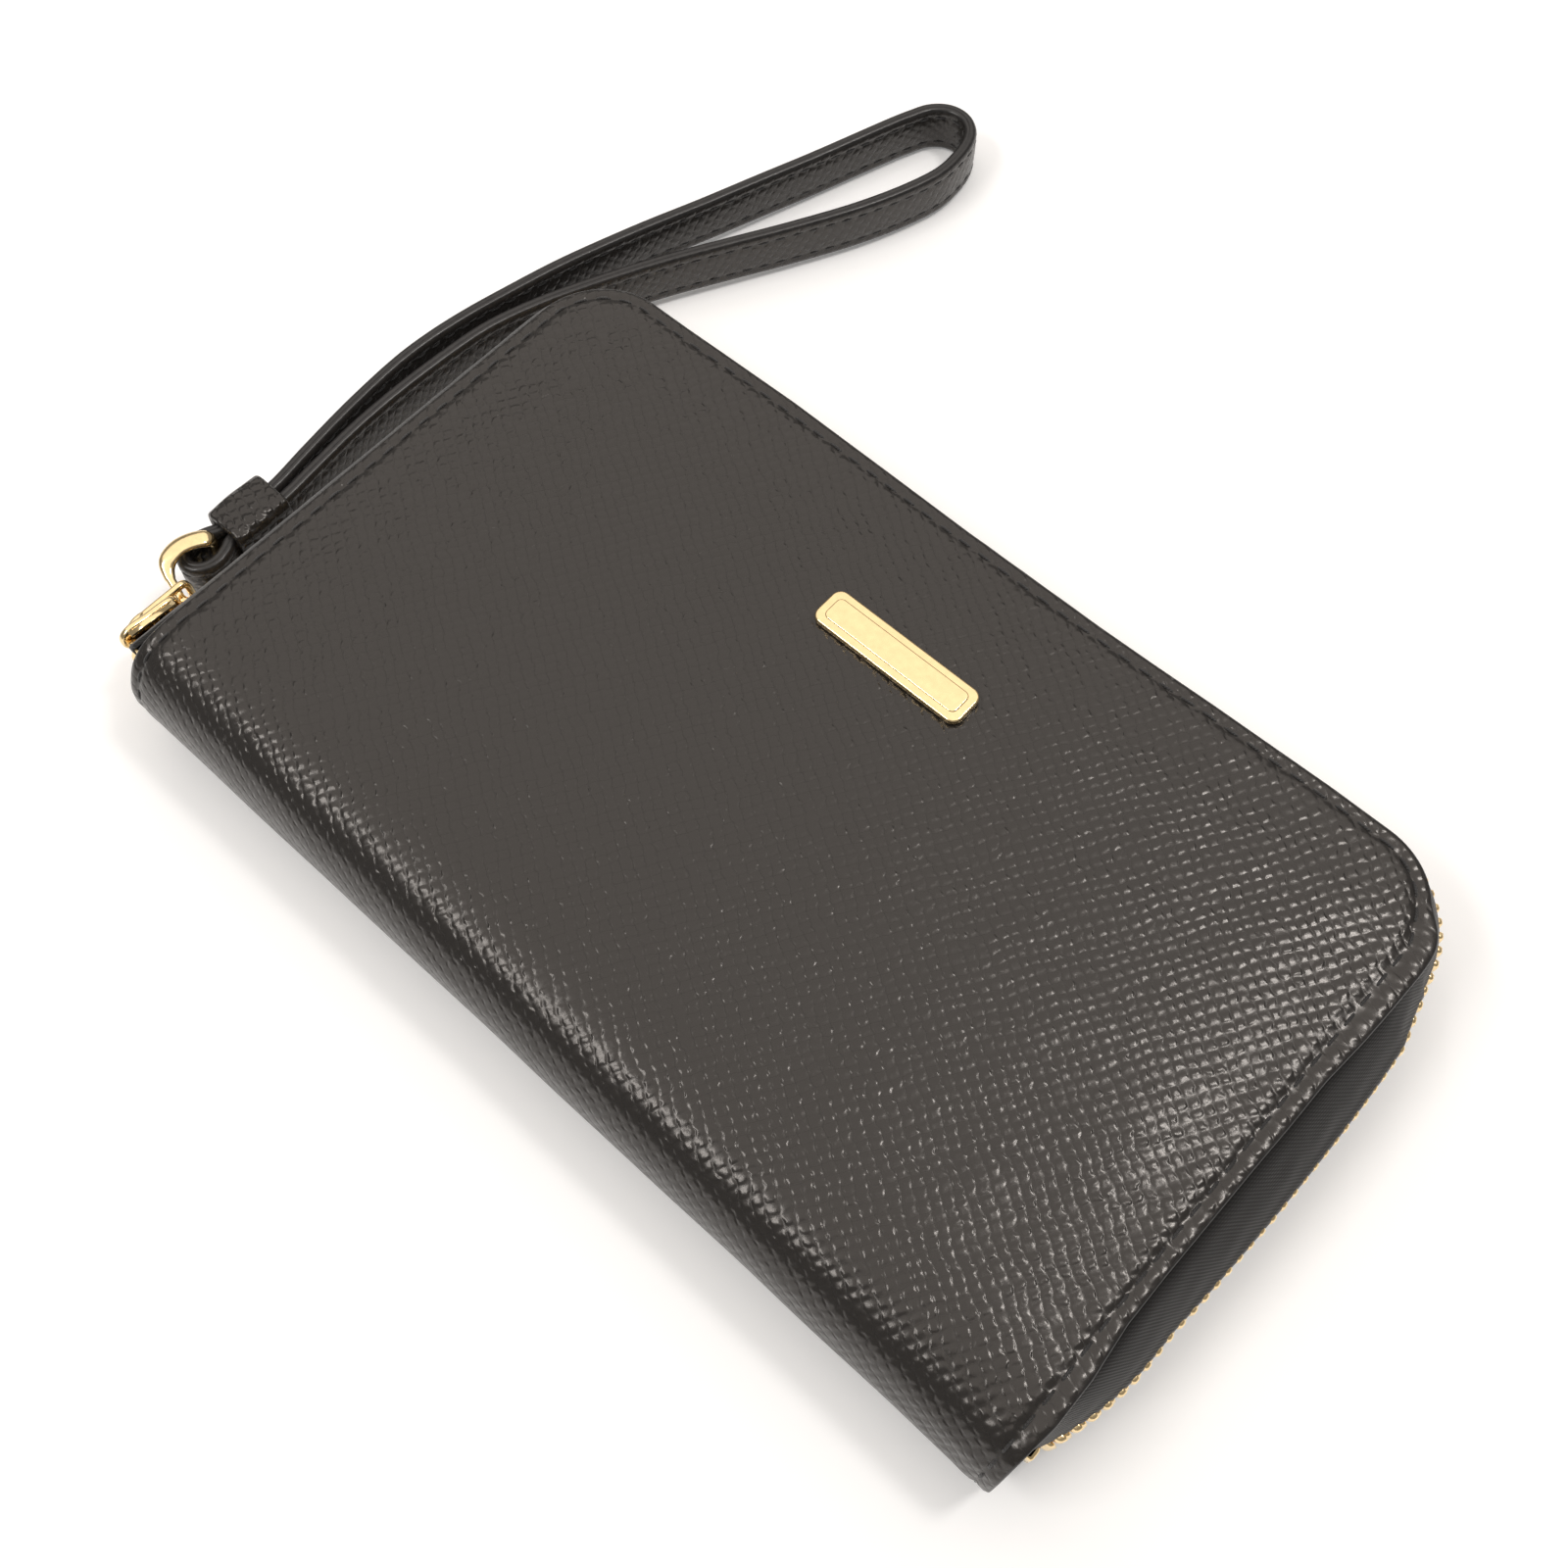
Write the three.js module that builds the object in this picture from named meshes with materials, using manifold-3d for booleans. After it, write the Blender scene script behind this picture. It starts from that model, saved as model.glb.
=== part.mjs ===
// Zip-around wristlet wallet lying on its back cover.
// Millimetres, +X along the spine (slider end is -X), +Y from the spine to the opening, +Z up.
// Origin: centre of the back cover's outer face, on the surface the wallet rests on.
import * as THREE from 'three';
import { mergeVertices } from 'three/addons/utils/BufferGeometryUtils.js';
import Module from 'manifold-3d';

const wasm = await Module();
wasm.setup();

// ---------- driving dimensions ----------
const LENGTH = 165;          // spine direction
const DEPTH = 100.5;         // spine to free edge
const THICK = 22;            // overall, closed
const CORNER_R = 12.5;       // free corners of the covers
const GAP = 0.3;             // clearance between touching pieces

const LEATHER_T = 1.3;
const BOARD_T = 0.6;
const LINING_T = 0.4;
const TAPE_T = 0.6;
const POCKET_T = 0.5;
const CARD_T = 0.4;
const CARD_PITCH_Z = 0.65;
const CARD_STEP_Y = 10;

const SPINE_R = THICK / 2;   // outer radius of the rolled spine
const CHAIN_OUT = 5.0;       // chain stands this far outside the leather edge
const CHAIN_W = 2.4;         // chain thickness
const TOOTH_PITCH = 2.3;
const TOOTH_W = 0.75;
const BEAD_NEAR = 2.0;       // bead band nearest the chain's middle plane
const BEAD_FAR = 3.4;
const TOOTH_TIP = -0.35;     // teeth pass the middle plane by this much, less than BEAD_NEAR
const BULGE_RIGHT = 1.3;     // extra outward bow of the chain on the stop end

const WALL_T = 0.5;          // coin pocket walls
const COIN_Z = 10.0;         // middle plane of the coin pocket
const COIN_HALF = 1.3;       // wall outer faces from that plane

const STRAP_W = 9.0;
const STRAP_T = 2.4;
const STRAP_Z = 2.35;        // lower edge at the ring end
const STRAP_TILT = -0.86;    // degrees: the loop end comes down to the table

// ---------- derived ----------
const XS = LENGTH / 2;
const Y0 = -DEPTH / 2;       // spine
const Y1 = DEPTH / 2;        // free edge
const ZM = THICK / 2;
const Y = (r) => Y0 + r;     // distance from the spine to row Y

// ---------- helpers ----------
const group = new THREE.Group();
function finish(name, geo, colour, roughness, metalness, parent = group) {
  const mesh = new THREE.Mesh(geo, new THREE.MeshStandardMaterial({ color: colour, roughness, metalness }));
  mesh.name = name;
  parent.add(mesh);
  return mesh;
}
function clean(geo) {
  const g = geo.clone();
  for (const k of Object.keys(g.attributes)) if (k !== 'position') g.deleteAttribute(k);
  return mergeVertices(g, 1e-4);
}
function solid(geo) {
  const g = clean(geo);
  return new wasm.Manifold(new wasm.Mesh({
    numProp: 3,
    vertProperties: new Float32Array(g.attributes.position.array),
    triVerts: new Uint32Array(g.index.array),
  }));
}
function toGeo(m) {
  const r = m.getMesh();
  const g = new THREE.BufferGeometry();
  const n = r.vertProperties.length / r.numProp;
  const p = new Float32Array(n * 3);
  for (let i = 0; i < n; i++) for (let k = 0; k < 3; k++) p[i * 3 + k] = r.vertProperties[i * r.numProp + k];
  g.setAttribute('position', new THREE.BufferAttribute(p, 3));
  g.setIndex(Array.from(r.triVerts));
  return g;
}
const join = (...gs) => toGeo(gs.map(solid).reduce((a, b) => a.add(b)));
const cut = (g, ...tools) => toGeo(tools.map(solid).reduce((a, b) => a.subtract(b), solid(g)));
function box(x0, x1, y0, y1, z0, z1) {
  const g = new THREE.BoxGeometry(x1 - x0, y1 - y0, z1 - z0);
  g.translate((x0 + x1) / 2, (y0 + y1) / 2, (z0 + z1) / 2);
  return g;
}
// flat plate from an XY outline, z0 to z1
function plate(points, z0, z1, holes = []) {
  const s = new THREE.Shape(points.map((p) => new THREE.Vector2(p[0], p[1])));
  for (const h of holes) s.holes.push(new THREE.Path(h.map((p) => new THREE.Vector2(p[0], p[1]))));
  const g = new THREE.ExtrudeGeometry(s, { depth: z1 - z0, bevelEnabled: false });
  g.translate(0, 0, z0);
  return g;
}
// prism along X from a YZ outline (counter-clockwise seen from +X)
function prismX(points, x0, x1) {
  const g = plate(points, 0, x1 - x0);
  g.applyMatrix4(new THREE.Matrix4().makeBasis(new THREE.Vector3(0, 1, 0), new THREE.Vector3(0, 0, 1), new THREE.Vector3(1, 0, 0)));
  g.translate(x0, 0, 0);
  return g;
}
// prism along Y from an XZ outline
function prismY(points, y0, y1) {
  const g = plate(points, 0, y1 - y0);
  g.applyMatrix4(new THREE.Matrix4().makeBasis(new THREE.Vector3(1, 0, 0), new THREE.Vector3(0, 0, 1), new THREE.Vector3(0, -1, 0)));
  g.translate(0, y1, 0);
  return g;
}
function ccw(points) {
  let a = 0;
  for (let i = 0; i < points.length; i++) {
    const p = points[i], q = points[(i + 1) % points.length];
    a += p[0] * q[1] - q[0] * p[1];
  }
  return a > 0 ? points : points.slice().reverse();
}
// a cover outline: square at the spine side, rounded at the free corners
function panel(halfX, yLow, yHigh, r, n = 7) {
  const pts = [[-halfX, yLow], [halfX, yLow]];
  for (let i = 0; i <= n; i++) {
    const a = (Math.PI / 2) * (i / n);
    pts.push([halfX - r + r * Math.cos(a), yHigh - r + r * Math.sin(a)]);
  }
  for (let i = 0; i <= n; i++) {
    const a = Math.PI / 2 + (Math.PI / 2) * (i / n);
    pts.push([-halfX + r + r * Math.cos(a), yHigh - r + r * Math.sin(a)]);
  }
  return pts;
}
// band of constant thickness around an open polyline
function band(line, t) {
  const left = [], right = [];
  for (let i = 0; i < line.length; i++) {
    const a = line[Math.max(0, i - 1)], b = line[i], c = line[Math.min(line.length - 1, i + 1)];
    const d1 = [b[0] - a[0], b[1] - a[1]], d2 = [c[0] - b[0], c[1] - b[1]];
    const l1 = Math.hypot(...d1) || 1, l2 = Math.hypot(...d2) || 1;
    let u1 = [d1[0] / l1, d1[1] / l1], u2 = [d2[0] / l2, d2[1] / l2];
    if (i === 0) u1 = u2;
    if (i === line.length - 1) u2 = u1;
    const n1 = [-u1[1], u1[0]], n2 = [-u2[1], u2[0]];
    let m = [n1[0] + n2[0], n1[1] + n2[1]];
    const lm = Math.hypot(...m) || 1;
    m = [m[0] / lm, m[1] / lm];
    const k = (t / 2) / Math.max(0.35, m[0] * n1[0] + m[1] * n1[1]);
    left.push([b[0] + m[0] * k, b[1] + m[1] * k]);
    right.push([b[0] - m[0] * k, b[1] - m[1] * k]);
  }
  return ccw(left.concat(right.reverse()));
}
// closed tube around a closed loop of 3-D points, elliptical section
function ringTube(points, a, b, sides = 8, steps = 40) {
  const curve = new THREE.CatmullRomCurve3(points.map((p) => new THREE.Vector3(...p)), true, 'centripetal');
  const fr = curve.computeFrenetFrames(steps, true);
  const pos = [], idx = [];
  for (let i = 0; i < steps; i++) {
    const c = curve.getPointAt(i / steps);
    for (let j = 0; j < sides; j++) {
      const t = (2 * Math.PI * j) / sides;
      const v = c.clone().addScaledVector(fr.normals[i], a * Math.cos(t)).addScaledVector(fr.binormals[i], b * Math.sin(t));
      pos.push(v.x, v.y, v.z);
    }
  }
  for (let i = 0; i < steps; i++) for (let j = 0; j < sides; j++) {
    const i2 = (i + 1) % steps, j2 = (j + 1) % sides;
    const p = i * sides + j, q = i2 * sides + j, r = i2 * sides + j2, s = i * sides + j2;
    idx.push(p, r, q, p, s, r);
  }
  const g = new THREE.BufferGeometry();
  g.setAttribute('position', new THREE.Float32BufferAttribute(pos, 3));
  g.setIndex(idx);
  return solid(g).volume() < 0 ? flip(g) : g;
}
function flip(g) {
  const i = Array.from(g.index.array);
  for (let k = 0; k < i.length; k += 3) [i[k + 1], i[k + 2]] = [i[k + 2], i[k + 1]];
  g.setIndex(i);
  return g;
}

// ---------- the zip's path round the three open sides ----------
// s runs along the chain line: up the slider side, round, across the opening, round, down the stop side.
const LEG = Y1 - CORNER_R;               // row Y where the corners begin
const ARC = (Math.PI / 2) * (CORNER_R + CHAIN_OUT);
const TOP = LENGTH - 2 * CORNER_R;
const LEG_A0 = Y(1.6);                   // tape start on the slider side
const LEG_D0 = Y(7.0);                   // tape end on the stop side
const S1 = LEG - LEG_A0, S2 = S1 + ARC, S3 = S2 + TOP, S4 = S3 + ARC, S5 = S4 + (LEG - LEG_D0);
function outward(s) {                    // how much of the outward bow is there
  if (s <= S4) return 1;
  const y = LEG - (s - S4);
  const r = y - Y0;                      // distance from the spine
  const t = Math.min(1, Math.max(0, (r - 6.5) / 22));
  const rise = 1 - Math.pow(1 - t, 2.6);
  const mid = Math.max(0, 1 - Math.pow((r - 64) / 34, 2));
  return 0.08 + 0.92 * rise + (BULGE_RIGHT / CHAIN_OUT) * mid;
}
function onPath(s, n, z) {
  const m = n > 0 ? n * outward(s) : n;
  let p, d;
  if (s <= S1) { p = [-XS, LEG_A0 + s]; d = [-1, 0]; }
  else if (s <= S2) { const a = Math.PI - (s - S1) / (CORNER_R + CHAIN_OUT); d = [Math.cos(a), Math.sin(a)]; p = [-XS + CORNER_R + CORNER_R * d[0], LEG + CORNER_R * d[1]]; }
  else if (s <= S3) { p = [-XS + CORNER_R + (s - S2), Y1]; d = [0, 1]; }
  else if (s <= S4) { const a = Math.PI / 2 - (s - S3) / (CORNER_R + CHAIN_OUT); d = [Math.cos(a), Math.sin(a)]; p = [XS - CORNER_R + CORNER_R * d[0], LEG + CORNER_R * d[1]]; }
  else { p = [XS, LEG - (s - S4)]; d = [1, 0]; }
  return [p[0] + d[0] * m, p[1] + d[1] * m, z];
}
function mapped(geo, fn) {
  const g = clean(geo);
  const p = g.attributes.position;
  for (let i = 0; i < p.count; i++) { const v = fn(p.getX(i), p.getY(i), p.getZ(i)); p.setXYZ(i, v[0], v[1], v[2]); }
  return solid(g).volume() < 0 ? flip(g) : g;
}
// stations: close together round the corners and where the chain bends in
const stations = [];
for (let i = 0; i < 6; i++) stations.push((S1 * i) / 6);
for (let i = 0; i < 7; i++) stations.push(S1 + (ARC * i) / 7);
for (let i = 0; i < 8; i++) stations.push(S2 + (TOP * i) / 8);
for (let i = 0; i < 7; i++) stations.push(S3 + (ARC * i) / 7);
for (let i = 0; i <= 14; i++) stations.push(S4 + (S5 - S4) * (i / 14));
// zip tape of one half: sewn between leather and lining, then bowing out to the chain
function tape(up) {
  const h = (d) => (up ? THICK - d : d);
  const line = [[-4.6, 1.9], [-0.8, 1.9], [1.5, 2.35], [3.3, 3.5], [4.5, 5.0], [5.0, 6.3], [5.0, ZM - BEAD_FAR - GAP]].map(([n, d]) => [n, h(d)]);
  const shape = new THREE.Shape(band(line, TAPE_T).map((p) => new THREE.Vector2(p[0], p[1])));
  const N = stations.length - 1;
  const g = new THREE.ExtrudeGeometry(shape, { depth: N, steps: N, bevelEnabled: false });
  const swept = mapped(g, (n, z, k) => onPath(stations[Math.round(k)], n, z));
  // beside the rolled spine only the part outside the leather's ends is left
  return cut(swept, box(-XS - GAP, XS + GAP, Y0 - 2, Y(SPINE_R) + 0.5, -1, THICK + 1));
}
// teeth of one half on their bead band: straight runs are plain combs, bent runs are built cell by cell
function combRun(cells, bead0, bead1, tip, sA, sB, straight) {
  const here = cells.filter((c) => c >= sA && c < sB);
  if (straight) {
    const pts = [[sA, bead1], [sA, bead0]];
    for (const c of here) pts.push([c - TOOTH_W / 2, bead0], [c - TOOTH_W / 2, tip], [c + TOOTH_W / 2, tip], [c + TOOTH_W / 2, bead0]);
    pts.push([sB, bead0], [sB, bead1]);
    const shape = new THREE.Shape(ccw(pts).map((p) => new THREE.Vector2(p[0], p[1])));
    const g = new THREE.ExtrudeGeometry(shape, { depth: CHAIN_W, bevelEnabled: false });
    return mapped(g, (u, z, n) => onPath(u, CHAIN_OUT - CHAIN_W / 2 + n, z));
  }
  const stops = [sA];
  for (const c of here) stops.push(c - TOOTH_W / 2, c + TOOTH_W / 2);
  stops.push(sB);
  const n0 = CHAIN_OUT - CHAIN_W / 2, n1 = CHAIN_OUT + CHAIN_W / 2, pos = [], idx = [];
  for (const u of stops) for (const z of [bead1, bead0, tip]) for (const n of [n0, n1]) pos.push(...onPath(u, n, z));
  const V = (i, k, m) => i * 6 + k * 2 + m;
  const quad = (p, q, r, t) => idx.push(p, q, r, p, r, t);
  const last = stops.length - 1;
  for (let i = 0; i < last; i++) {
    const tooth = i % 2 === 1, j = i + 1;
    quad(V(i, 0, 0), V(j, 0, 0), V(j, 0, 1), V(i, 0, 1));
    quad(V(i, 0, 1), V(j, 0, 1), V(j, 1, 1), V(i, 1, 1));
    quad(V(i, 1, 0), V(j, 1, 0), V(j, 0, 0), V(i, 0, 0));
    if (!tooth) quad(V(i, 1, 1), V(j, 1, 1), V(j, 1, 0), V(i, 1, 0));
    else {
      quad(V(i, 1, 1), V(j, 1, 1), V(j, 2, 1), V(i, 2, 1));
      quad(V(i, 2, 1), V(j, 2, 1), V(j, 2, 0), V(i, 2, 0));
      quad(V(i, 2, 0), V(j, 2, 0), V(j, 1, 0), V(i, 1, 0));
      quad(V(i, 1, 0), V(i, 1, 1), V(i, 2, 1), V(i, 2, 0));
      quad(V(j, 1, 0), V(j, 2, 0), V(j, 2, 1), V(j, 1, 1));
    }
  }
  quad(V(0, 0, 0), V(0, 0, 1), V(0, 1, 1), V(0, 1, 0));
  quad(V(last, 0, 0), V(last, 1, 0), V(last, 1, 1), V(last, 0, 1));
  const used = new Map(), out = [], id = idx.map((v) => { if (!used.has(v)) { used.set(v, out.length / 3); out.push(pos[v * 3], pos[v * 3 + 1], pos[v * 3 + 2]); } return used.get(v); });
  const g = new THREE.BufferGeometry();
  g.setAttribute('position', new THREE.Float32BufferAttribute(out, 3));
  g.setIndex(id);
  return solid(g).volume() < 0 ? flip(g) : g;
}
function teeth(up, sStart, sEnd) {
  const dir = up ? 1 : -1;
  const bead0 = ZM + dir * BEAD_NEAR, bead1 = ZM + dir * BEAD_FAR, tip = ZM + dir * TOOTH_TIP;
  const cells = [];
  for (let c = sStart + 0.6 + (up ? TOOTH_PITCH / 2 : 0); c + TOOTH_W / 2 < sEnd - 0.1; c += TOOTH_PITCH) cells.push(c);
  // run ends are moved into the nearest gap between teeth
  const gapAt = (s) => { const c = cells.reduce((m, v) => (Math.abs(v - s) < Math.abs(m - s) ? v : m)); return c + (s >= c ? 1 : -1) * TOOTH_PITCH / 2; };
  const cuts = [sStart, gapAt(S1) - TOOTH_PITCH, gapAt(S2) + TOOTH_PITCH, gapAt(S3) - TOOTH_PITCH, sEnd];
  const over = 0.05, runs = [];
  for (let i = 0; i < 4; i++) runs.push(combRun(cells, bead0, bead1, tip, cuts[i], cuts[i + 1] + (i < 3 ? over : 0), i % 2 === 0));
  return join(...runs);
}

// ---------- colours ----------
const BLACK = 0x1c1b1a, LINING = 0x2a2a2c, GOLD = 0xd9b56a, TAPE = 0x141414, BOARD = 0x77705f;

// ---------- covers ----------
// quarter roll of the spine in YZ, from the flat to the middle plane; up=true for the front cover
function roll(rOuter, t, up, extend, endGap) {
  const cy = Y(SPINE_R), n = 8;
  const a1 = Math.asin(Math.min(1, endGap / rOuter)), a2 = Math.asin(Math.min(1, endGap / (rOuter - t)));
  const outer = [], inner = [];
  for (let i = 0; i <= n; i++) {
    const f = i / n;
    const A = Math.PI + a1 + (Math.PI / 2 - a1) * f, B = Math.PI + a2 + (Math.PI / 2 - a2) * f;
    outer.push([cy + rOuter * Math.cos(A), ZM + rOuter * Math.sin(A)]);
    inner.push([cy + (rOuter - t) * Math.cos(B), ZM + (rOuter - t) * Math.sin(B)]);
  }
  let pts = outer.concat([[cy + extend, ZM - rOuter], [cy + extend, ZM - rOuter + t]], inner.reverse());
  if (up) pts = pts.map(([y, z]) => [y, THICK - z]);
  return ccw(pts);
}
const badgeX = 1.9, badgeY = Y(76.3), prongX = 9;
function cover(up) {
  const z0 = up ? THICK - LEATHER_T : 0;
  const flat = plate(panel(XS, Y(SPINE_R) + 0.2, Y1, CORNER_R), z0, z0 + LEATHER_T);
  const rolled = prismX(roll(SPINE_R, LEATHER_T, up, 0.6, GAP / 2), -XS, XS);
  let g = join(flat, rolled);
  if (up) {
    const holes = [-prongX, prongX].map((dx) => {
      const c = new THREE.CylinderGeometry(0.9, 0.9, 4, 10);
      c.rotateX(Math.PI / 2);
      c.translate(badgeX + dx, badgeY, THICK - 0.5);
      return c;
    });
    g = cut(g, ...holes);
  }
  return g;
}
finish('back_leather', cover(false), BLACK, 0.5, 0);
finish('front_leather', cover(true), BLACK, 0.5, 0);

function board(up) {
  const d0 = 1.6, z0 = up ? THICK - d0 - BOARD_T : d0;
  let g = plate(panel(XS - 5.2, Y(13), Y1 - 5.2, 8.5, 5), z0, z0 + BOARD_T);
  if (up) {
    const holes = [-prongX, prongX].map((dx) => {
      const c = new THREE.CylinderGeometry(0.9, 0.9, 6, 10);
      c.rotateX(Math.PI / 2);
      c.translate(badgeX + dx, badgeY, z0);
      return c;
    });
    g = cut(g, ...holes);
  }
  return g;
}
finish('back_stiffener', board(false), BOARD, 0.9, 0);
finish('front_stiffener', board(true), BOARD, 0.9, 0);

const LIN_D = 3.1;           // lining's outer face from the cover's outer face
function lining(up) {
  const z0 = up ? THICK - LIN_D - LINING_T : LIN_D;
  const flat = plate(panel(XS - 1.4, Y(SPINE_R) + 0.2, Y1 - 1.4, 11), z0, z0 + LINING_T);
  const rolled = prismX(roll(SPINE_R - LIN_D, LINING_T, up, 0.6, GAP / 2), -(XS - 1.4), XS - 1.4);
  return join(flat, rolled);
}
finish('back_lining', lining(false), LINING, 0.85, 0);
finish('front_lining', lining(true), LINING, 0.85, 0);

// ---------- zip ----------
const S_TEETH0 = Y(9) - LEG_A0;          // first teeth, held inside the slider
const S_TEETH1 = S5 - 1.8;
finish('back_zip_tape', tape(false), TAPE, 0.8, 0);
finish('front_zip_tape', tape(true), TAPE, 0.8, 0);
finish('back_zip_teeth', teeth(false, S_TEETH0, S_TEETH1), GOLD, 0.25, 1);
finish('front_zip_teeth', teeth(true, S_TEETH0, S_TEETH1), GOLD, 0.25, 1);
// stops: one on each tape ahead of the slider, one box over both chains at the far end
const CX = -(XS + CHAIN_OUT);
finish('back_top_stop', box(CX - 1.3, CX + 1.3, Y(2.0), Y(3.9), ZM - BEAD_FAR, ZM - 1.4), GOLD, 0.25, 1);
finish('front_top_stop', box(CX - 1.3, CX + 1.3, Y(2.0), Y(3.9), ZM + 1.4, ZM + BEAD_FAR), GOLD, 0.25, 1);
finish('bottom_stop', box(XS + 0.35, XS + 2.3, Y(5.6), Y(8.3), ZM - 2.6, ZM + 2.6), GOLD, 0.25, 1);

// ---------- main slider ----------
const SL0 = 4.5, SL1 = 15.0;             // from the spine, parked
const CH_IN = CX + CHAIN_W / 2 + GAP, CH_OUT = CX - CHAIN_W / 2 - GAP;   // channel faces in X
const SP = 1.1;                          // plate thickness
function sliderPlate(x0, x1) {           // shield outline in YZ, widest where the tapes enter
  const pts = [[Y(SL0), ZM - 3.6], [Y(SL0 + 1.6), ZM - 4.9], [Y(SL0 + 5.2), ZM - 4.7], [Y(SL1), ZM - 4.1],
    [Y(SL1), ZM + 4.1], [Y(SL0 + 5.2), ZM + 4.7], [Y(SL0 + 1.6), ZM + 4.9], [Y(SL0), ZM + 3.6]];
  return prismX(ccw(pts), x0, x1);
}
function flange(x0, x1, up) {
  const o = up ? 1 : -1;
  const pts = [[Y(SL0 + 1.6), ZM + o * 4.9], [Y(SL0 + 5.2), ZM + o * 4.7], [Y(SL1), ZM + o * 4.1], [Y(SL1), ZM + o * 3.7], [Y(SL0 + 5.2), ZM + o * 4.0], [Y(SL0 + 1.6), ZM + o * 4.2]];
  return prismX(ccw(pts), x0, x1);
}
const post = prismX(ccw([[Y(SL0 + 0.2), ZM - 0.9], [Y(SL0 + 0.2), ZM + 0.9], [Y(SL0 + 2.6), ZM + 1.1], [Y(SL0 + 3.6), ZM], [Y(SL0 + 2.6), ZM - 1.1]]), CH_OUT - 0.4, CH_IN + 0.4);
finish('zip_slider_body', join(
  sliderPlate(CH_OUT - SP, CH_OUT), sliderPlate(CH_IN, CH_IN + SP), post,
  flange(CH_OUT - 0.2, CX - TAPE_T / 2 - 0.35, true), flange(CH_OUT - 0.2, CX - TAPE_T / 2 - 0.35, false),
  flange(CX + TAPE_T / 2 + 0.35, CH_IN + 0.2, true), flange(CX + TAPE_T / 2 + 0.35, CH_IN + 0.2, false)), GOLD, 0.22, 1);
// bridge: an arch along the slider for the pull
const BX = CH_OUT - SP;                  // slider's outer face
const arch = (t) => {
  const pts = [];
  for (let i = 0; i <= 8; i++) { const a = Math.PI * (i / 8); pts.push([BX - GAP - (3.1 - t) * Math.sin(a), Y(9.4) - (3.4 - t) * Math.cos(a)]); }
  return pts;
};
finish('zip_slider_bridge', plate(ccw(arch(0).concat(arch(1.1).reverse())), ZM - 1.1, ZM + 1.1), GOLD, 0.22, 1);
// pull link: a flat oblong ring through the bridge
const LX = BX - 1.25;                    // middle plane of the link
const LY = 9.4;                          // its pivot bar, from the spine
const LFAR = 17.9;
{
  const o = [[LY - 0.6, 2.3], [LY - 0.1, 2.9], [LFAR - 0.7, 2.9], [LFAR + 0.4, 2.1], [LFAR + 0.6, 0], [LFAR + 0.4, -2.1], [LFAR - 0.7, -2.9], [LY - 0.1, -2.9], [LY - 0.6, -2.3]].map(([y, z]) => [Y(y), ZM + z]);
  const h = [[LY + 0.6, 1.7], [LFAR - 0.9, 1.7], [LFAR - 0.6, 1.4], [LFAR - 0.6, -1.4], [LFAR - 0.9, -1.7], [LY + 0.6, -1.7]].map(([y, z]) => [Y(y), ZM + z]);
  const s = new THREE.Shape(ccw(o).map((p) => new THREE.Vector2(...p)));
  s.holes.push(new THREE.Path(h.map((p) => new THREE.Vector2(...p))));
  const g = new THREE.ExtrudeGeometry(s, { depth: 1.2, bevelEnabled: false });
  g.applyMatrix4(new THREE.Matrix4().makeBasis(new THREE.Vector3(0, 1, 0), new THREE.Vector3(0, 0, 1), new THREE.Vector3(1, 0, 0)));
  g.translate(LX - 0.6, 0, 0);
  finish('pull_link', g, GOLD, 0.2, 1);
}
// strap ring: a twisted teardrop, small eye round the link's far bar, tall bar through the strap's fold
const RINGX = -95.4, RINGY = 25.8, RING_R = 0.8;
const EYE = [LX, Y(16.15), ZM - 0.1];
const ringPts = [
  EYE, [LX + 0.8, Y(16.25), ZM - 0.3], [LX + 1.75, Y(17.2), ZM - 1.2], [-89.9, Y(18.3), 6.8], [-90.8, Y(18.4), 3.2], [-92.5, Y(19.4), 1.1], [-94.6, Y(23.0), 0.95],
  [RINGX, Y(RINGY), 1.7], [RINGX, Y(RINGY), 5.0], [RINGX, Y(RINGY), 9.0], [RINGX, Y(RINGY), 12.2],
  [-96.4, Y(24.2), 12.75], [-97.3, Y(21.4), 12.8], [-96.9, Y(18.8), 12.3], [-95.3, Y(17.4), 11.6], [LX - 1.75, Y(16.7), 11.1]];
finish('strap_ring', ringTube(ringPts, RING_R, RING_R, 8, 56), GOLD, 0.2, 1);

// ---------- wrist strap ----------
// Middle line of the strip in plan: fold round the ring, both legs through the keeper, out to the loop.
const far = [[-96.85, 28.5], [-96.85, 39], [-98.3, 48], [-99.9, 59], [-100.8, 70], [-100.6, 77.2], [-99.7, 85], [-97.9, 94], [-95.6, 104], [-91.4, 118], [-86.8, 131], [-81.9, 145.9], [-77.0, 161], [-73.9, 170.2]];
const tip = [[-72.2, 173.9], [-69.4, 176.1], [-66.2, 176.3], [-63.5, 174.6], [-62.0, 171.9]];
const near = [[-61.2, 168], [-61.1, 163.4], [-62.8, 156.5], [-66.4, 147.2], [-72.1, 136], [-78.0, 125.2], [-83.8, 114.5], [-88.8, 103.9], [-92.4, 95.1], [-95.0, 85.6], [-96.0, 76], [-96.3, 66], [-95.9, 56], [-94.9, 47], [-93.95, 39], [-93.95, 28.5]];
const fold = [[-93.1, 26.6], [-92.5, 24.4], [-92.8, 22.4], [-94.0, 21.0], [-95.4, 20.5], [-96.8, 21.0], [-98.0, 22.4], [-98.3, 24.4], [-97.7, 26.6]];
const strapLine = far.concat(tip, near, fold).map(([x, r]) => [x, Y(r)]);
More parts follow.
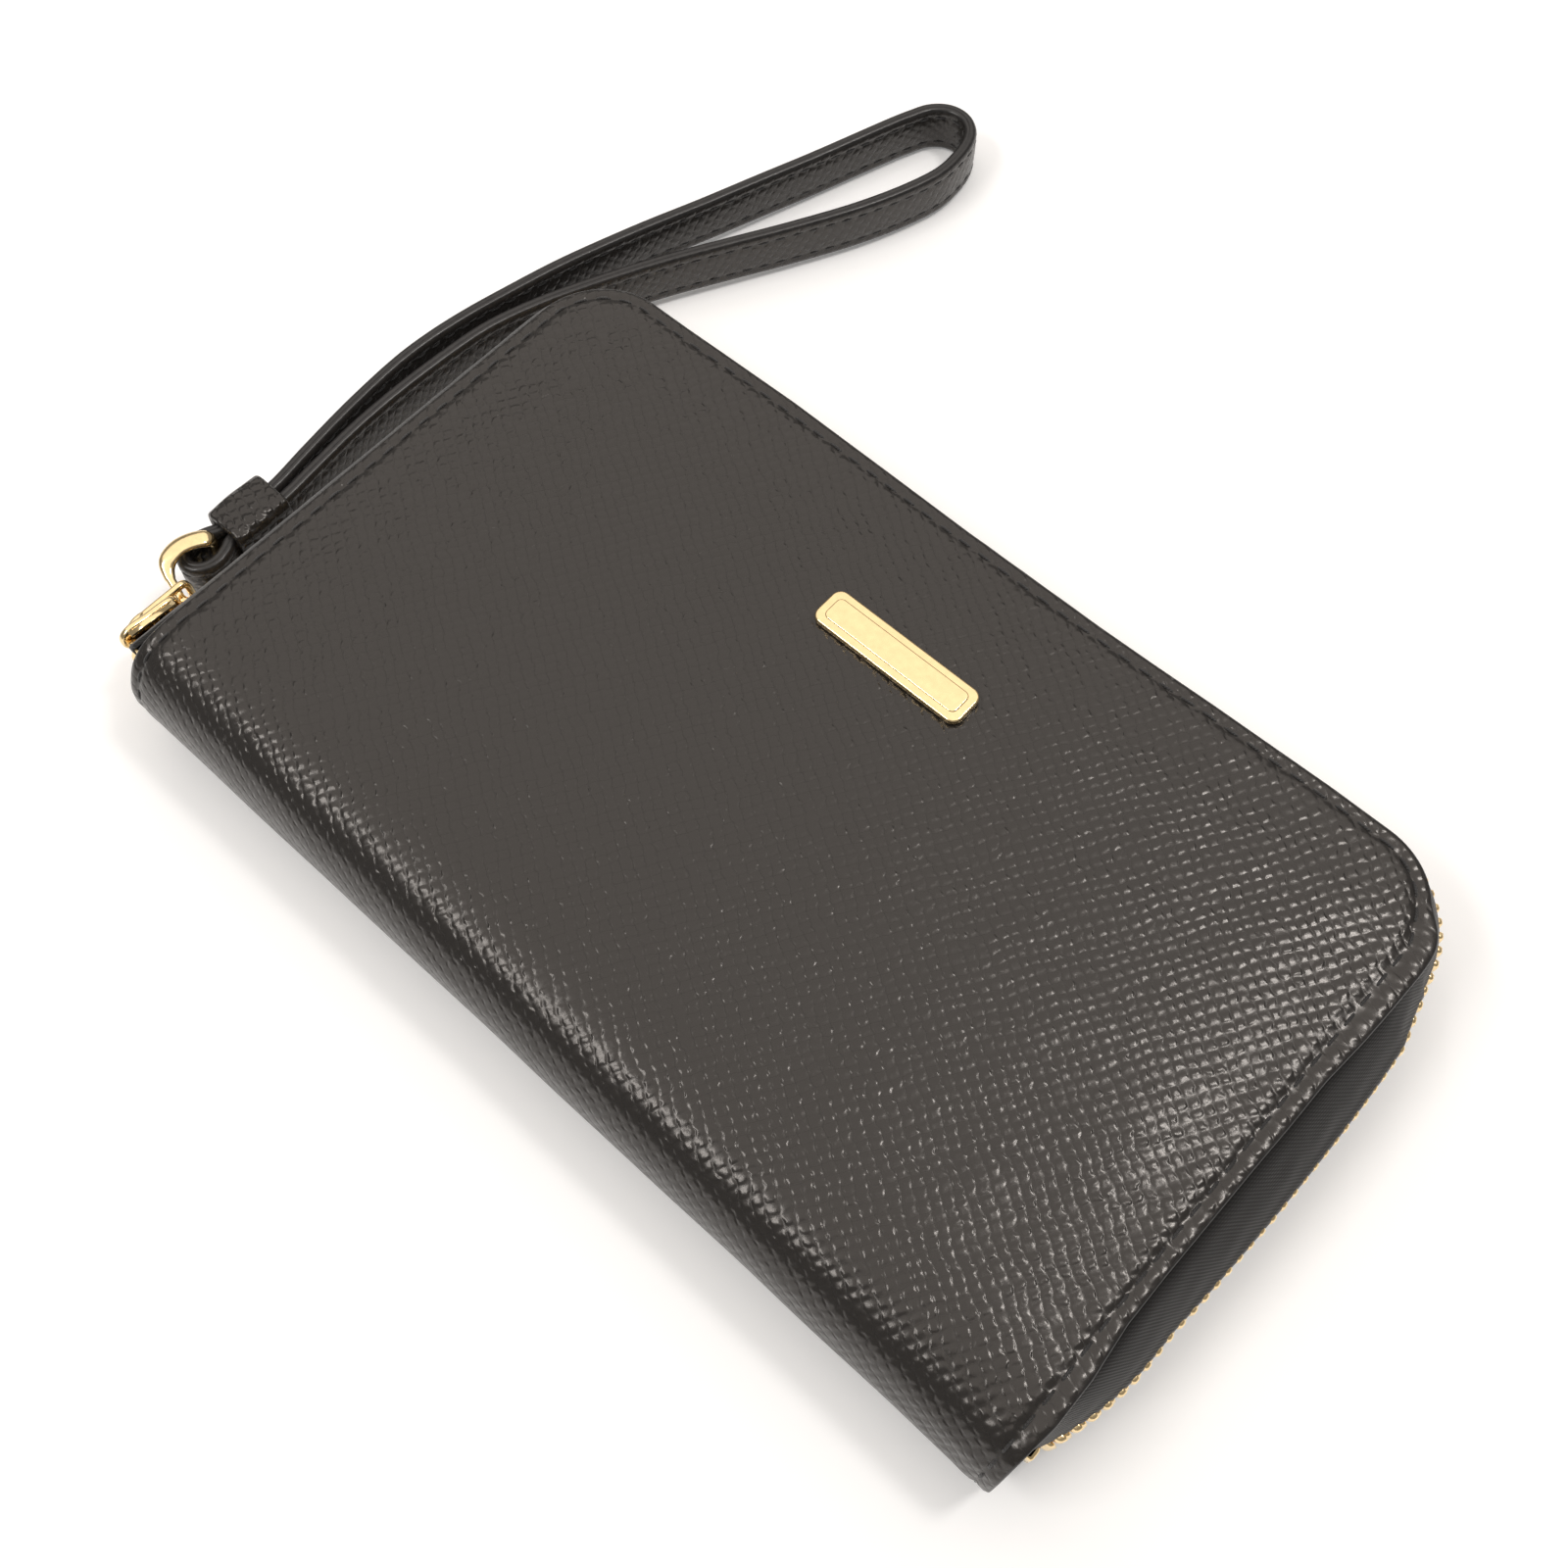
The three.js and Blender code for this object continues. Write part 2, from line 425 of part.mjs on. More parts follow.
function offsetLoop(line, d) {
  const out = [];
  for (let i = 0; i < line.length; i++) {
    const a = line[(i + line.length - 1) % line.length], b = line[i], c = line[(i + 1) % line.length];
    const u1 = new THREE.Vector2(b[0] - a[0], b[1] - a[1]).normalize(), u2 = new THREE.Vector2(c[0] - b[0], c[1] - b[1]).normalize();
    const n1 = new THREE.Vector2(-u1.y, u1.x), n2 = new THREE.Vector2(-u2.y, u2.x);
    const m = n1.clone().add(n2).normalize();
    const k = d / Math.max(0.5, m.dot(n1));
    out.push([b[0] + m.x * k, b[1] + m.y * k]);
  }
  return out;
}
const strapTilt = new THREE.Matrix4().makeTranslation(0, Y(RINGY), STRAP_Z)
  .multiply(new THREE.Matrix4().makeRotationX(THREE.MathUtils.degToRad(STRAP_TILT)))
  .multiply(new THREE.Matrix4().makeTranslation(0, -Y(RINGY), -STRAP_Z));
{
  const g = plate(ccw(offsetLoop(strapLine, STRAP_T / 2)), STRAP_Z, STRAP_Z + STRAP_W, [offsetLoop(strapLine, -STRAP_T / 2)]);
  g.applyMatrix4(strapTilt);
  finish('wrist_strap', g, BLACK, 0.5, 0);
}
// keeper: a leather band round both legs
{
  const t = 1.2, hx = STRAP_T + 0.25 + GAP, kz0 = STRAP_Z - GAP, kz1 = STRAP_Z + STRAP_W + GAP;
  const outer = [[RINGX - hx - t, kz0 - t], [RINGX + hx + t, kz0 - t], [RINGX + hx + t, kz1 + t], [RINGX - hx - t, kz1 + t]];
  const inner = [[RINGX - hx, kz0], [RINGX + hx, kz0], [RINGX + hx, kz1], [RINGX - hx, kz1]];
  const s = new THREE.Shape(outer.map((p) => new THREE.Vector2(...p)));
  s.holes.push(new THREE.Path(inner.map((p) => new THREE.Vector2(...p))));
  const g = new THREE.ExtrudeGeometry(s, { depth: 10.4, bevelEnabled: false });
  g.applyMatrix4(new THREE.Matrix4().makeBasis(new THREE.Vector3(1, 0, 0), new THREE.Vector3(0, 0, 1), new THREE.Vector3(0, -1, 0)));
  g.translate(0, Y(38.7), 0);
  g.applyMatrix4(strapTilt);
  finish('strap_keeper', g, BLACK, 0.5, 0);
}

// ---------- badge on the front ----------
{
  const w = 13.6, h = 3.3, n = 8, pts = [];
  for (const [sx, sy, a0] of [[1, 1, 0], [-1, 1, 90], [-1, -1, 180], [1, -1, 270]]) {
    for (let i = 0; i <= n; i++) { const a = THREE.MathUtils.degToRad(a0 + 90 * (i / n)); pts.push([badgeX + sx * (w - 1.6) + 1.6 * Math.cos(a), badgeY + sy * (h - 1.6) + 1.6 * Math.sin(a)]); }
  }
  const plateGeo = plate(ccw(pts), THICK + GAP, THICK + GAP + 1.0);
  const prongs = [-prongX, prongX].map((dx) => {
    const c = new THREE.CylinderGeometry(0.5, 0.5, THICK + GAP + 0.3 - 19.25, 8);
    c.rotateX(Math.PI / 2);
    c.translate(badgeX + dx, badgeY, (THICK + GAP + 0.3 + 19.25) / 2);
    return c;
  });
  finish('badge_plate', join(plateGeo, ...prongs), GOLD, 0.2, 1);
  for (const [side, dx] of [['left', -prongX], ['right', prongX]]) {
    const prof = [[0.8, 0], [2.2, 0], [2.2, 0.35], [0.8, 0.35], [0.8, 0]].map((p) => new THREE.Vector2(...p));
    const g = new THREE.LatheGeometry(prof, 12);
    g.rotateX(Math.PI / 2);
    g.translate(badgeX + dx, badgeY, 19.12);
    finish('badge_washer_' + side, g, GOLD, 0.4, 1);
  }
}

// ---------- pockets ----------
// slip pocket on the back half
finish('back_slip_pocket', plate(panel(74, Y(14), Y(82), 3, 3), LIN_D + LINING_T + GAP, LIN_D + LINING_T + GAP + POCKET_T), BLACK, 0.6, 0);
// stepped card pockets on the front half: the first is the tallest and lies against the lining
for (let k = 0; k < 4; k++) {
  const z1 = THICK - LIN_D - LINING_T - GAP - k * CARD_PITCH_Z;
  finish('card_pocket_' + (k + 1), plate(panel(72, Y(14), Y(84 - k * CARD_STEP_Y), 1.5, 2), z1 - CARD_T, z1), BLACK, 0.6, 0);
}

// ---------- divider: zipped coin pocket ----------
const DX = 76, DY0 = 9, DY1 = 84;
const cz = (d) => COIN_Z + d;
finish('coin_wall_back', plate(panel(DX, Y(DY0), Y(DY1), 2, 2), cz(-COIN_HALF), cz(-COIN_HALF + WALL_T)), LINING, 0.8, 0);
finish('coin_wall_front', plate(panel(DX, Y(DY0), Y(DY1), 2, 2), cz(COIN_HALF - WALL_T), cz(COIN_HALF)), LINING, 0.8, 0);
{
  const e = COIN_HALF - WALL_T - GAP;    // seam fills between the walls on three sides
  const u = [[-DX, Y(DY0)], [DX, Y(DY0)], [DX, Y(DY1 - 2)], [DX - 2.5, Y(DY1 - 2)], [DX - 2.5, Y(DY0 + 2.5)], [-DX + 2.5, Y(DY0 + 2.5)], [-DX + 2.5, Y(DY1 - 2)], [-DX, Y(DY1 - 2)]];
  finish('coin_pocket_seam', plate(ccw(u), cz(-e), cz(e)), LINING, 0.8, 0);
}
// tapes flare round the slider and meet on the divider's free edge
const ZIPX = 70, CPY = 94;               // chain's distance from the spine
for (const [side, o] of [['back', -1], ['front', 1]]) {
  const line = [[DY1 + GAP, COIN_HALF - 0.25], [86.2, 1.7], [88.6, 3.3], [90.6, 4.1], [92.4, 4.15], [93.6, 3.6], [CPY, 2.75]].map(([r, d]) => [Y(r), cz(o * d)]);
  finish('coin_tape_' + side, prismX(band(line, 0.45), -ZIPX, ZIPX), TAPE, 0.8, 0);
  // teeth on a bead
  const p = 2.0, w = 0.62, x0 = -66, x1 = 61.6, near = 0.85, farD = 2.3, tipD = -0.3, sh = o > 0 ? p / 2 : 0;
  const pts = [[x0, cz(o * farD)], [x0, cz(o * near * 1.6)]];
  for (let c = x0 + 0.6 + sh; c + w / 2 < x1 - 0.1; c += p) pts.push([c - w / 2, cz(o * near * 1.6)], [c - w / 2, cz(o * tipD)], [c + w / 2, cz(o * tipD)], [c + w / 2, cz(o * near * 1.6)]);
  pts.push([x1, cz(o * near * 1.6)], [x1, cz(o * farD)]);
  const s = new THREE.Shape(ccw(pts).map((q) => new THREE.Vector2(...q)));
  const g = new THREE.ExtrudeGeometry(s, { depth: 1.8, bevelEnabled: false });
  g.applyMatrix4(new THREE.Matrix4().makeBasis(new THREE.Vector3(1, 0, 0), new THREE.Vector3(0, 0, 1), new THREE.Vector3(0, -1, 0)));
  g.translate(0, Y(CPY) + 0.9, 0);
  finish('coin_teeth_' + side, g, GOLD, 0.25, 1);
}
for (const [side, x] of [['left', -67.9], ['right', 67.0]]) {
  finish('coin_stop_' + side, box(x - 1.2, x + 1.2, Y(CPY) - 1.1, Y(CPY) + 1.1, cz(-2.0), cz(2.0)), GOLD, 0.25, 1);
}

// coin slider, parked closed at the +X end; its post stands past the last teeth
const CS0 = 55.0, CS1 = 64.4;            // its ends in X
const cin = CPY - 0.9 - GAP, cout = CPY + 0.9 + GAP;
const coinPlate = (r0, r1) => {
  const pts = [[CS0, -2.9], [CS1 - 2.5, -3.3], [CS1 - 0.6, -2.8], [CS1, -1.6], [CS1, 1.6], [CS1 - 0.6, 2.8], [CS1 - 2.5, 3.3], [CS0, 2.9]].map(([x, d]) => [x, cz(d)]);
  return prismY(ccw(pts), Y(r0), Y(r1));
};
const coinPost = box(CS1 - 1.7, CS1 - 0.3, Y(cin - 0.3), Y(cout + 0.3), cz(-0.8), cz(0.8));
finish('coin_slider_body', join(coinPlate(cin - 0.8, cin), coinPlate(cout, cout + 0.8), coinPost), GOLD, 0.22, 1);
const COUT = cout + 0.8;                 // outer face, from the spine
{
  const a = (t) => { const q = []; for (let i = 0; i <= 8; i++) { const v = Math.PI * (i / 8); q.push([59.8 - (2.6 - t) * Math.cos(v), Y(COUT + GAP + (2.2 - t) * Math.sin(v))]); } return q; };
  finish('coin_slider_bridge', plate(ccw(a(0).concat(a(0.8).reverse())), cz(-0.9), cz(0.9)), GOLD, 0.22, 1);
}
// coin pull: a slim tab lying along the zip towards the middle
{
  const yr = COUT + 0.85, px = 59.8;
  const o = [[px + 0.5, 1.9], [px - 2.5, 2.1], [px - 12.0, 2.3], [px - 13.6, 1.4], [px - 14.0, 0], [px - 13.6, -1.4], [px - 12.0, -2.3], [px - 2.5, -2.1], [px + 0.5, -1.9]].map(([x, d]) => [x, cz(d)]);
  const h = [[px - 0.5, 1.25], [px - 3.6, 1.25], [px - 3.6, -1.25], [px - 0.5, -1.25]].map(([x, d]) => [x, cz(d)]);
  const s = new THREE.Shape(ccw(o).map((q) => new THREE.Vector2(...q)));
  s.holes.push(new THREE.Path(h.map((q) => new THREE.Vector2(...q))));
  const g = new THREE.ExtrudeGeometry(s, { depth: 0.9, bevelEnabled: false });
  g.applyMatrix4(new THREE.Matrix4().makeBasis(new THREE.Vector3(1, 0, 0), new THREE.Vector3(0, 0, 1), new THREE.Vector3(0, -1, 0)));
  g.translate(0, Y(yr) + 0.45, 0);
  finish('coin_pull_tab', g, GOLD, 0.2, 1);
}

// ---------- side gussets: pleated end walls between the two covers and round the divider's ends ----------
for (const [side, o] of [['left', -1], ['right', 1]]) {
  const zA = LIN_D + LINING_T, zB = THICK - LIN_D - LINING_T, c0 = COIN_Z - COIN_HALF, c1 = COIN_Z + COIN_HALF;
  const line = [[79.0, zA + 0.6], [71.5, (zA + c0) / 2 + 0.2], [78.4, c0 - 0.75], [79.3, c0], [79.3, c1], [78.4, c1 + 0.75], [71.5, (c1 + zB) / 2 - 0.6], [79.0, zB - 0.6]].map(([x, z]) => [o * x, z]);
  finish('gusset_' + side, prismY(band(line, 0.45), Y(13.5), Y(82)), BLACK, 0.7, 0);
}

export default group;
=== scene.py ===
# Zip-around wristlet wallet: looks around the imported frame. Metres, row frame; shapes are worked out in millimetres.
import bpy, math
import numpy as np
from mathutils import Matrix


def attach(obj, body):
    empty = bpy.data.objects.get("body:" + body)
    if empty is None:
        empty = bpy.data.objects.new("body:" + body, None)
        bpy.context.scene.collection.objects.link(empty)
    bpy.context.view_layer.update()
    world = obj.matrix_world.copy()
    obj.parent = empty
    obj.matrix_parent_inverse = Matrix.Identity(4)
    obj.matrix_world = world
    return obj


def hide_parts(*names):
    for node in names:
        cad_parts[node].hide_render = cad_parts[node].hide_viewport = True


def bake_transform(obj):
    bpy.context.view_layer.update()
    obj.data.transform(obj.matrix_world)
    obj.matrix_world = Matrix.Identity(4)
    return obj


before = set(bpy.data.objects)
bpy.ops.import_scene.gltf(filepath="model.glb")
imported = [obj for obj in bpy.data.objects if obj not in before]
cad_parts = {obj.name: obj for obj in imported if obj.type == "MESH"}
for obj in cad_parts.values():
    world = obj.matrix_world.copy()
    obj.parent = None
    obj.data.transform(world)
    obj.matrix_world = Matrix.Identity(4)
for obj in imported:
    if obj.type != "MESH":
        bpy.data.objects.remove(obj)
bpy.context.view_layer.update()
MM = 0.001
PI = math.pi

# ------------------------------------------------------------------ driving sizes (mm, as in the CAD)
XS, Y0, Y1, ZM, THICK = 82.5, -50.25, 50.25, 11.0, 22.0
DEPTH, CR = 100.5, 12.5
CHAIN_OUT, PITCH = 5.0, 2.3


def Y(r):
    return Y0 + r


# ------------------------------------------------------------------ camera
cam_data = bpy.data.cameras.new("view")
cam_data.sensor_width = 36.0
cam_data.sensor_fit = "HORIZONTAL"
cam_data.lens = 1753.2 / 1600 * 36
cam_data.clip_start, cam_data.clip_end = 0.01, 10
az, el, roll = math.radians(43.28), math.radians(64.47), math.radians(-1.35)
F = np.array([-math.sin(az) * math.cos(el), math.cos(az) * math.cos(el), -math.sin(el)])
rgt = np.array([math.cos(az), math.sin(az), 0.0])
up = np.cross(rgt, F)
R = math.cos(roll) * rgt + math.sin(roll) * up
U = -math.sin(roll) * rgt + math.cos(roll) * up
cam = bpy.data.objects.new("view", cam_data)
bpy.context.scene.collection.objects.link(cam)
m = Matrix.Identity(4)
for i in range(3):
    m[i][0], m[i][1], m[i][2] = R[i], U[i], -F[i]
m[0][3], m[1][3], m[2][3] = 0.0738, -0.07435, 0.2374
cam.matrix_world = m
bpy.context.scene.camera = cam


# ------------------------------------------------------------------ mesh helpers
def obj_from(name, verts, faces, mat, uv=None, smooth=True, face_mats=None, mats=None):
    me = bpy.data.meshes.new(name)
    v = np.asarray(verts, float) * MM
    me.from_pydata(v.tolist(), [], [tuple(int(i) for i in f) for f in faces])
    if uv is not None:
        uvl = me.uv_layers.new(name="grain")
        loops = np.empty(len(me.loops), dtype=np.int32)
        me.loops.foreach_get("vertex_index", loops)
        uvl.data.foreach_set("uv", (np.asarray(uv, float)[loops] * MM).astype(np.float32).ravel())
    for mt in (mats or [mat]):
        me.materials.append(mt)
    if face_mats is not None:
        me.polygons.foreach_set("material_index", np.asarray(face_mats, np.int32))
    me.polygons.foreach_set("use_smooth", [smooth] * len(me.polygons))
    me.validate()
    me.update()
    o = bpy.data.objects.new(name, me)
    bpy.context.scene.collection.objects.link(o)
    return o


class Build:
    """Collects several closed shells into one mesh."""

    def __init__(self):
        self.v, self.f, self.uv, self.m, self.n = [], [], [], [], 0

    def add(self, verts, faces, uv=None, mi=0):
        verts = np.asarray(verts, float)
        self.v.append(verts)
        self.f.extend([tuple(i + self.n for i in f) for f in faces])
        self.uv.append(np.zeros((len(verts), 2)) if uv is None else np.asarray(uv, float))
        self.m.extend([mi] * len(faces) if np.isscalar(mi) else list(mi))
        self.n += len(verts)

    def obj(self, name, mats, smooth=True):
        mats = mats if isinstance(mats, list) else [mats]
        return obj_from(name, np.vstack(self.v), self.f, None, np.vstack(self.uv), smooth, self.m, mats)


def grid_faces(nu, nv, cu=False, cv=False, flip=False):
    """faces of a grid whose vertex (i, j) has number i * nv + j"""
    f = []
    for i in range(nu if cu else nu - 1):
        for j in range(nv if cv else nv - 1):
            a, b = i * nv + j, ((i + 1) % nu) * nv + j
            c, d = ((i + 1) % nu) * nv + (j + 1) % nv, i * nv + (j + 1) % nv
            f.append((a, d, c, b) if flip else (a, b, c, d))
    return f


def tube(path, nrm, bin_, sec, closed=False, cap=True):
    """sec (M,2) or (N,M,2) swept along path; nrm and bin_ are the section's axes"""
    path, nrm, bin_ = (np.asarray(a, float) for a in (path, nrm, bin_))
    sec = np.asarray(sec, float)
    n = len(path)
    if sec.ndim == 2:
        sec = np.repeat(sec[None], n, 0)
    mm = sec.shape[1]
    v = path[:, None, :] + sec[:, :, :1] * nrm[:, None, :] + sec[:, :, 1:] * bin_[:, None, :]
    f = grid_faces(n, mm, closed, True)
    v = v.reshape(-1, 3)
    if not closed and cap:
        f.append(tuple(range(mm))[::1])
        f.append(tuple((n - 1) * mm + j for j in reversed(range(mm))))
    s = np.concatenate([[0], np.cumsum(np.linalg.norm(np.diff(path, axis=0), axis=1))])
    per = np.concatenate([[0], np.cumsum(np.linalg.norm(np.diff(sec[0], axis=0), axis=1))])
    uv = np.stack(np.broadcast_arrays(s[:, None], per[None, :]), -1).reshape(-1, 2)
    return v, f, uv


def outward_faces(v, f):
    """turns all faces over if the closed shell is inside out"""
    v = np.asarray(v)
    vol = 0.0
    for q in f:
        a = v[q[0]]
        for k in range(1, len(q) - 1):
            vol += np.dot(a, np.cross(v[q[k]], v[q[k + 1]]))
    return f if vol > 0 else [tuple(reversed(q)) for q in f]


def rr_section(w, h, r, n=3, bulge=0.0):
    """rounded rectangle, w by h"""
    pts = []
    for sx, sy, a0 in ((1, 1, 0), (-1, 1, 90), (-1, -1, 180), (1, -1, 270)):
        for i in range(n + 1):
            a = math.radians(a0 + 90 * i / n)
            pts.append((sx * (w / 2 - r) + r * math.cos(a), sy * (h / 2 - r) + r * math.sin(a)))
    return np.array(pts)


def frames(path, upv, closed=False):
    """tangents and two normals; the first normal is as near upv as it can be"""
    p = np.asarray(path, float)
    if closed:
        t = np.roll(p, -1, 0) - np.roll(p, 1, 0)
    else:
        t = np.gradient(p, axis=0)
    t /= np.linalg.norm(t, axis=1)[:, None]
    upv = np.broadcast_to(np.asarray(upv, float), p.shape)
    a = upv - (upv * t).sum(1)[:, None] * t
    a /= np.linalg.norm(a, axis=1)[:, None]
    return t, a, np.cross(t, a)


def catmull(pts, n, closed=True):
    """centripetal-like smooth curve through pts, n samples evenly spaced"""
    p = np.asarray(pts, float)
    k = len(p)
    seg = range(k if closed else k - 1)
    out = []
    for i in seg:
        p0 = p[(i - 1) % k] if closed or i > 0 else 2 * p[0] - p[1]
        p1, p2 = p[i], p[(i + 1) % k]
        p3 = p[(i + 2) % k] if closed or i + 2 < k else 2 * p[-1] - p[-2]
        d0, d1, d2 = (max(1e-6, np.linalg.norm(b - a)) ** 0.5 for a, b in ((p0, p1), (p1, p2), (p2, p3)))
        t0, t1, t2, t3 = 0, d0, d0 + d1, d0 + d1 + d2
        for t in np.linspace(t1, t2, 24, endpoint=False):
            a1 = (t1 - t) / (t1 - t0) * p0 + (t - t0) / (t1 - t0) * p1
            a2 = (t2 - t) / (t2 - t1) * p1 + (t - t1) / (t2 - t1) * p2
            a3 = (t3 - t) / (t3 - t2) * p2 + (t - t2) / (t3 - t2) * p3
            b1 = (t2 - t) / (t2 - t0) * a1 + (t - t0) / (t2 - t0) * a2
            b2 = (t3 - t) / (t3 - t1) * a2 + (t - t1) / (t3 - t1) * a3
            out.append((t2 - t) / (t2 - t1) * b1 + (t - t1) / (t2 - t1) * b2)
    out = np.array(out)
    if closed:
        out = np.vstack([out, out[:1]])
    else:
        out = np.vstack([out, p[-1:]])
    s = np.concatenate([[0], np.cumsum(np.linalg.norm(np.diff(out, axis=0), axis=1))])
    q = np.linspace(0, s[-1], n + 1 if closed else n)
    res = np.stack([np.interp(q, s, out[:, i]) for i in range(out.shape[1])], 1)
    return res[:-1] if closed else res


def waves(x, y, seed, scale, count=9, spread=0.6):
    """smooth repeatable undulation, about -1 to 1"""
    rng = np.random.RandomState(seed)
    h = 0
    for _ in range(count):
        a, k, ph = rng.uniform(0, 2 * PI), (2 * PI / scale) * (1 + spread * rng.uniform(-1, 1)), rng.uniform(0, 2 * PI)
        h = h + np.sin(k * (x * math.cos(a) + y * math.sin(a)) + ph)
    return h / math.sqrt(count) / 1.4


def sstep(a, b, x):
    t = np.clip((x - a) / (b - a), 0, 1)
    return t * t * (3 - 2 * t)


# ------------------------------------------------------------------ materials
class N:
    def __init__(self, name):
        self.mat = bpy.data.materials.new(name)
        self.mat.use_nodes = True
        self.t = self.mat.node_tree
        self.b = self.t.nodes["Principled BSDF"]

    def node(self, kind, **kw):
        n = self.t.nodes.new(kind)
        for k, v in kw.items():
            if k == "inputs":
                for i, val in v.items():
                    n.inputs[i].default_value = val
            else:
                setattr(n, k, v)
        return n

    def link(self, a, b):
        self.t.links.new(a, b)

    def math(self, op, a, b=None, c=None, clamp=False):
        n = self.node("ShaderNodeMath", operation=op, use_clamp=clamp)
        for i, v in enumerate((a, b, c)):
            if v is None:
                continue
            if hasattr(v, "is_output"):
                self.link(v, n.inputs[i])
            else:
                n.inputs[i].default_value = v
        return n.outputs[0]

    def coords(self, kind="uv", rot=0.0, scale=(1000, 1000, 1000)):
        src = self.node("ShaderNodeUVMap", uv_map="grain").outputs[0] if kind == "uv" else self.node("ShaderNodeTexCoord").outputs["Object"]
        mp = self.node("ShaderNodeMapping")
        mp.inputs["Rotation"].default_value = (0, 0, rot)
        mp.inputs["Scale"].default_value = scale
        self.link(src, mp.inputs["Vector"])
        return mp.outputs[0]

    def xyz(self, vec):
        s = self.node("ShaderNodeSeparateXYZ")
        self.link(vec, s.inputs[0])
        return s.outputs

    def noise(self, vec, scale, detail=2.0, rough=0.5, dim="3D"):
        n = self.node("ShaderNodeTexNoise", noise_dimensions=dim)
        n.inputs["Scale"].default_value = scale
        n.inputs["Detail"].default_value = detail
        n.inputs["Roughness"].default_value = rough
        self.link(vec, n.inputs["Vector"])
        return n.outputs["Fac"], n.outputs["Color"]

    def ramp(self, fac, stops):
        n = self.node("ShaderNodeValToRGB")
        while len(n.color_ramp.elements) < len(stops):
            n.color_ramp.elements.new(0.5)
        for e, (p, c) in zip(n.color_ramp.elements, stops):
            e.position = p
            e.color = (*c, 1) if len(c) == 3 else c
        self.link(fac, n.inputs[0])
        return n.outputs[0]

    def maprange(self, v, a, b, c, d, smooth=False):
        n = self.node("ShaderNodeMapRange", interpolation_type="SMOOTHSTEP" if smooth else "LINEAR")
        self.link(v, n.inputs[0])
        for i, x in zip((1, 2, 3, 4), (a, b, c, d)):
            n.inputs[i].default_value = x
        return n.outputs[0]

    def bump(self, height, dist, strength=1.0, normal=None):
        n = self.node("ShaderNodeBump")
        n.inputs["Distance"].default_value = dist
        n.inputs["Strength"].default_value = strength
        self.link(height, n.inputs["Height"])
        if normal is not None:
            self.link(normal, n.inputs["Normal"])
        return n.outputs[0]

    def set(self, **kw):
        for k, v in kw.items():
            s = self.b.inputs[k.replace("_", " ")]
            if hasattr(v, "is_output"):
                self.link(v, s)
            else:
                s.default_value = v


GRAIN_ROT = math.radians(-58)


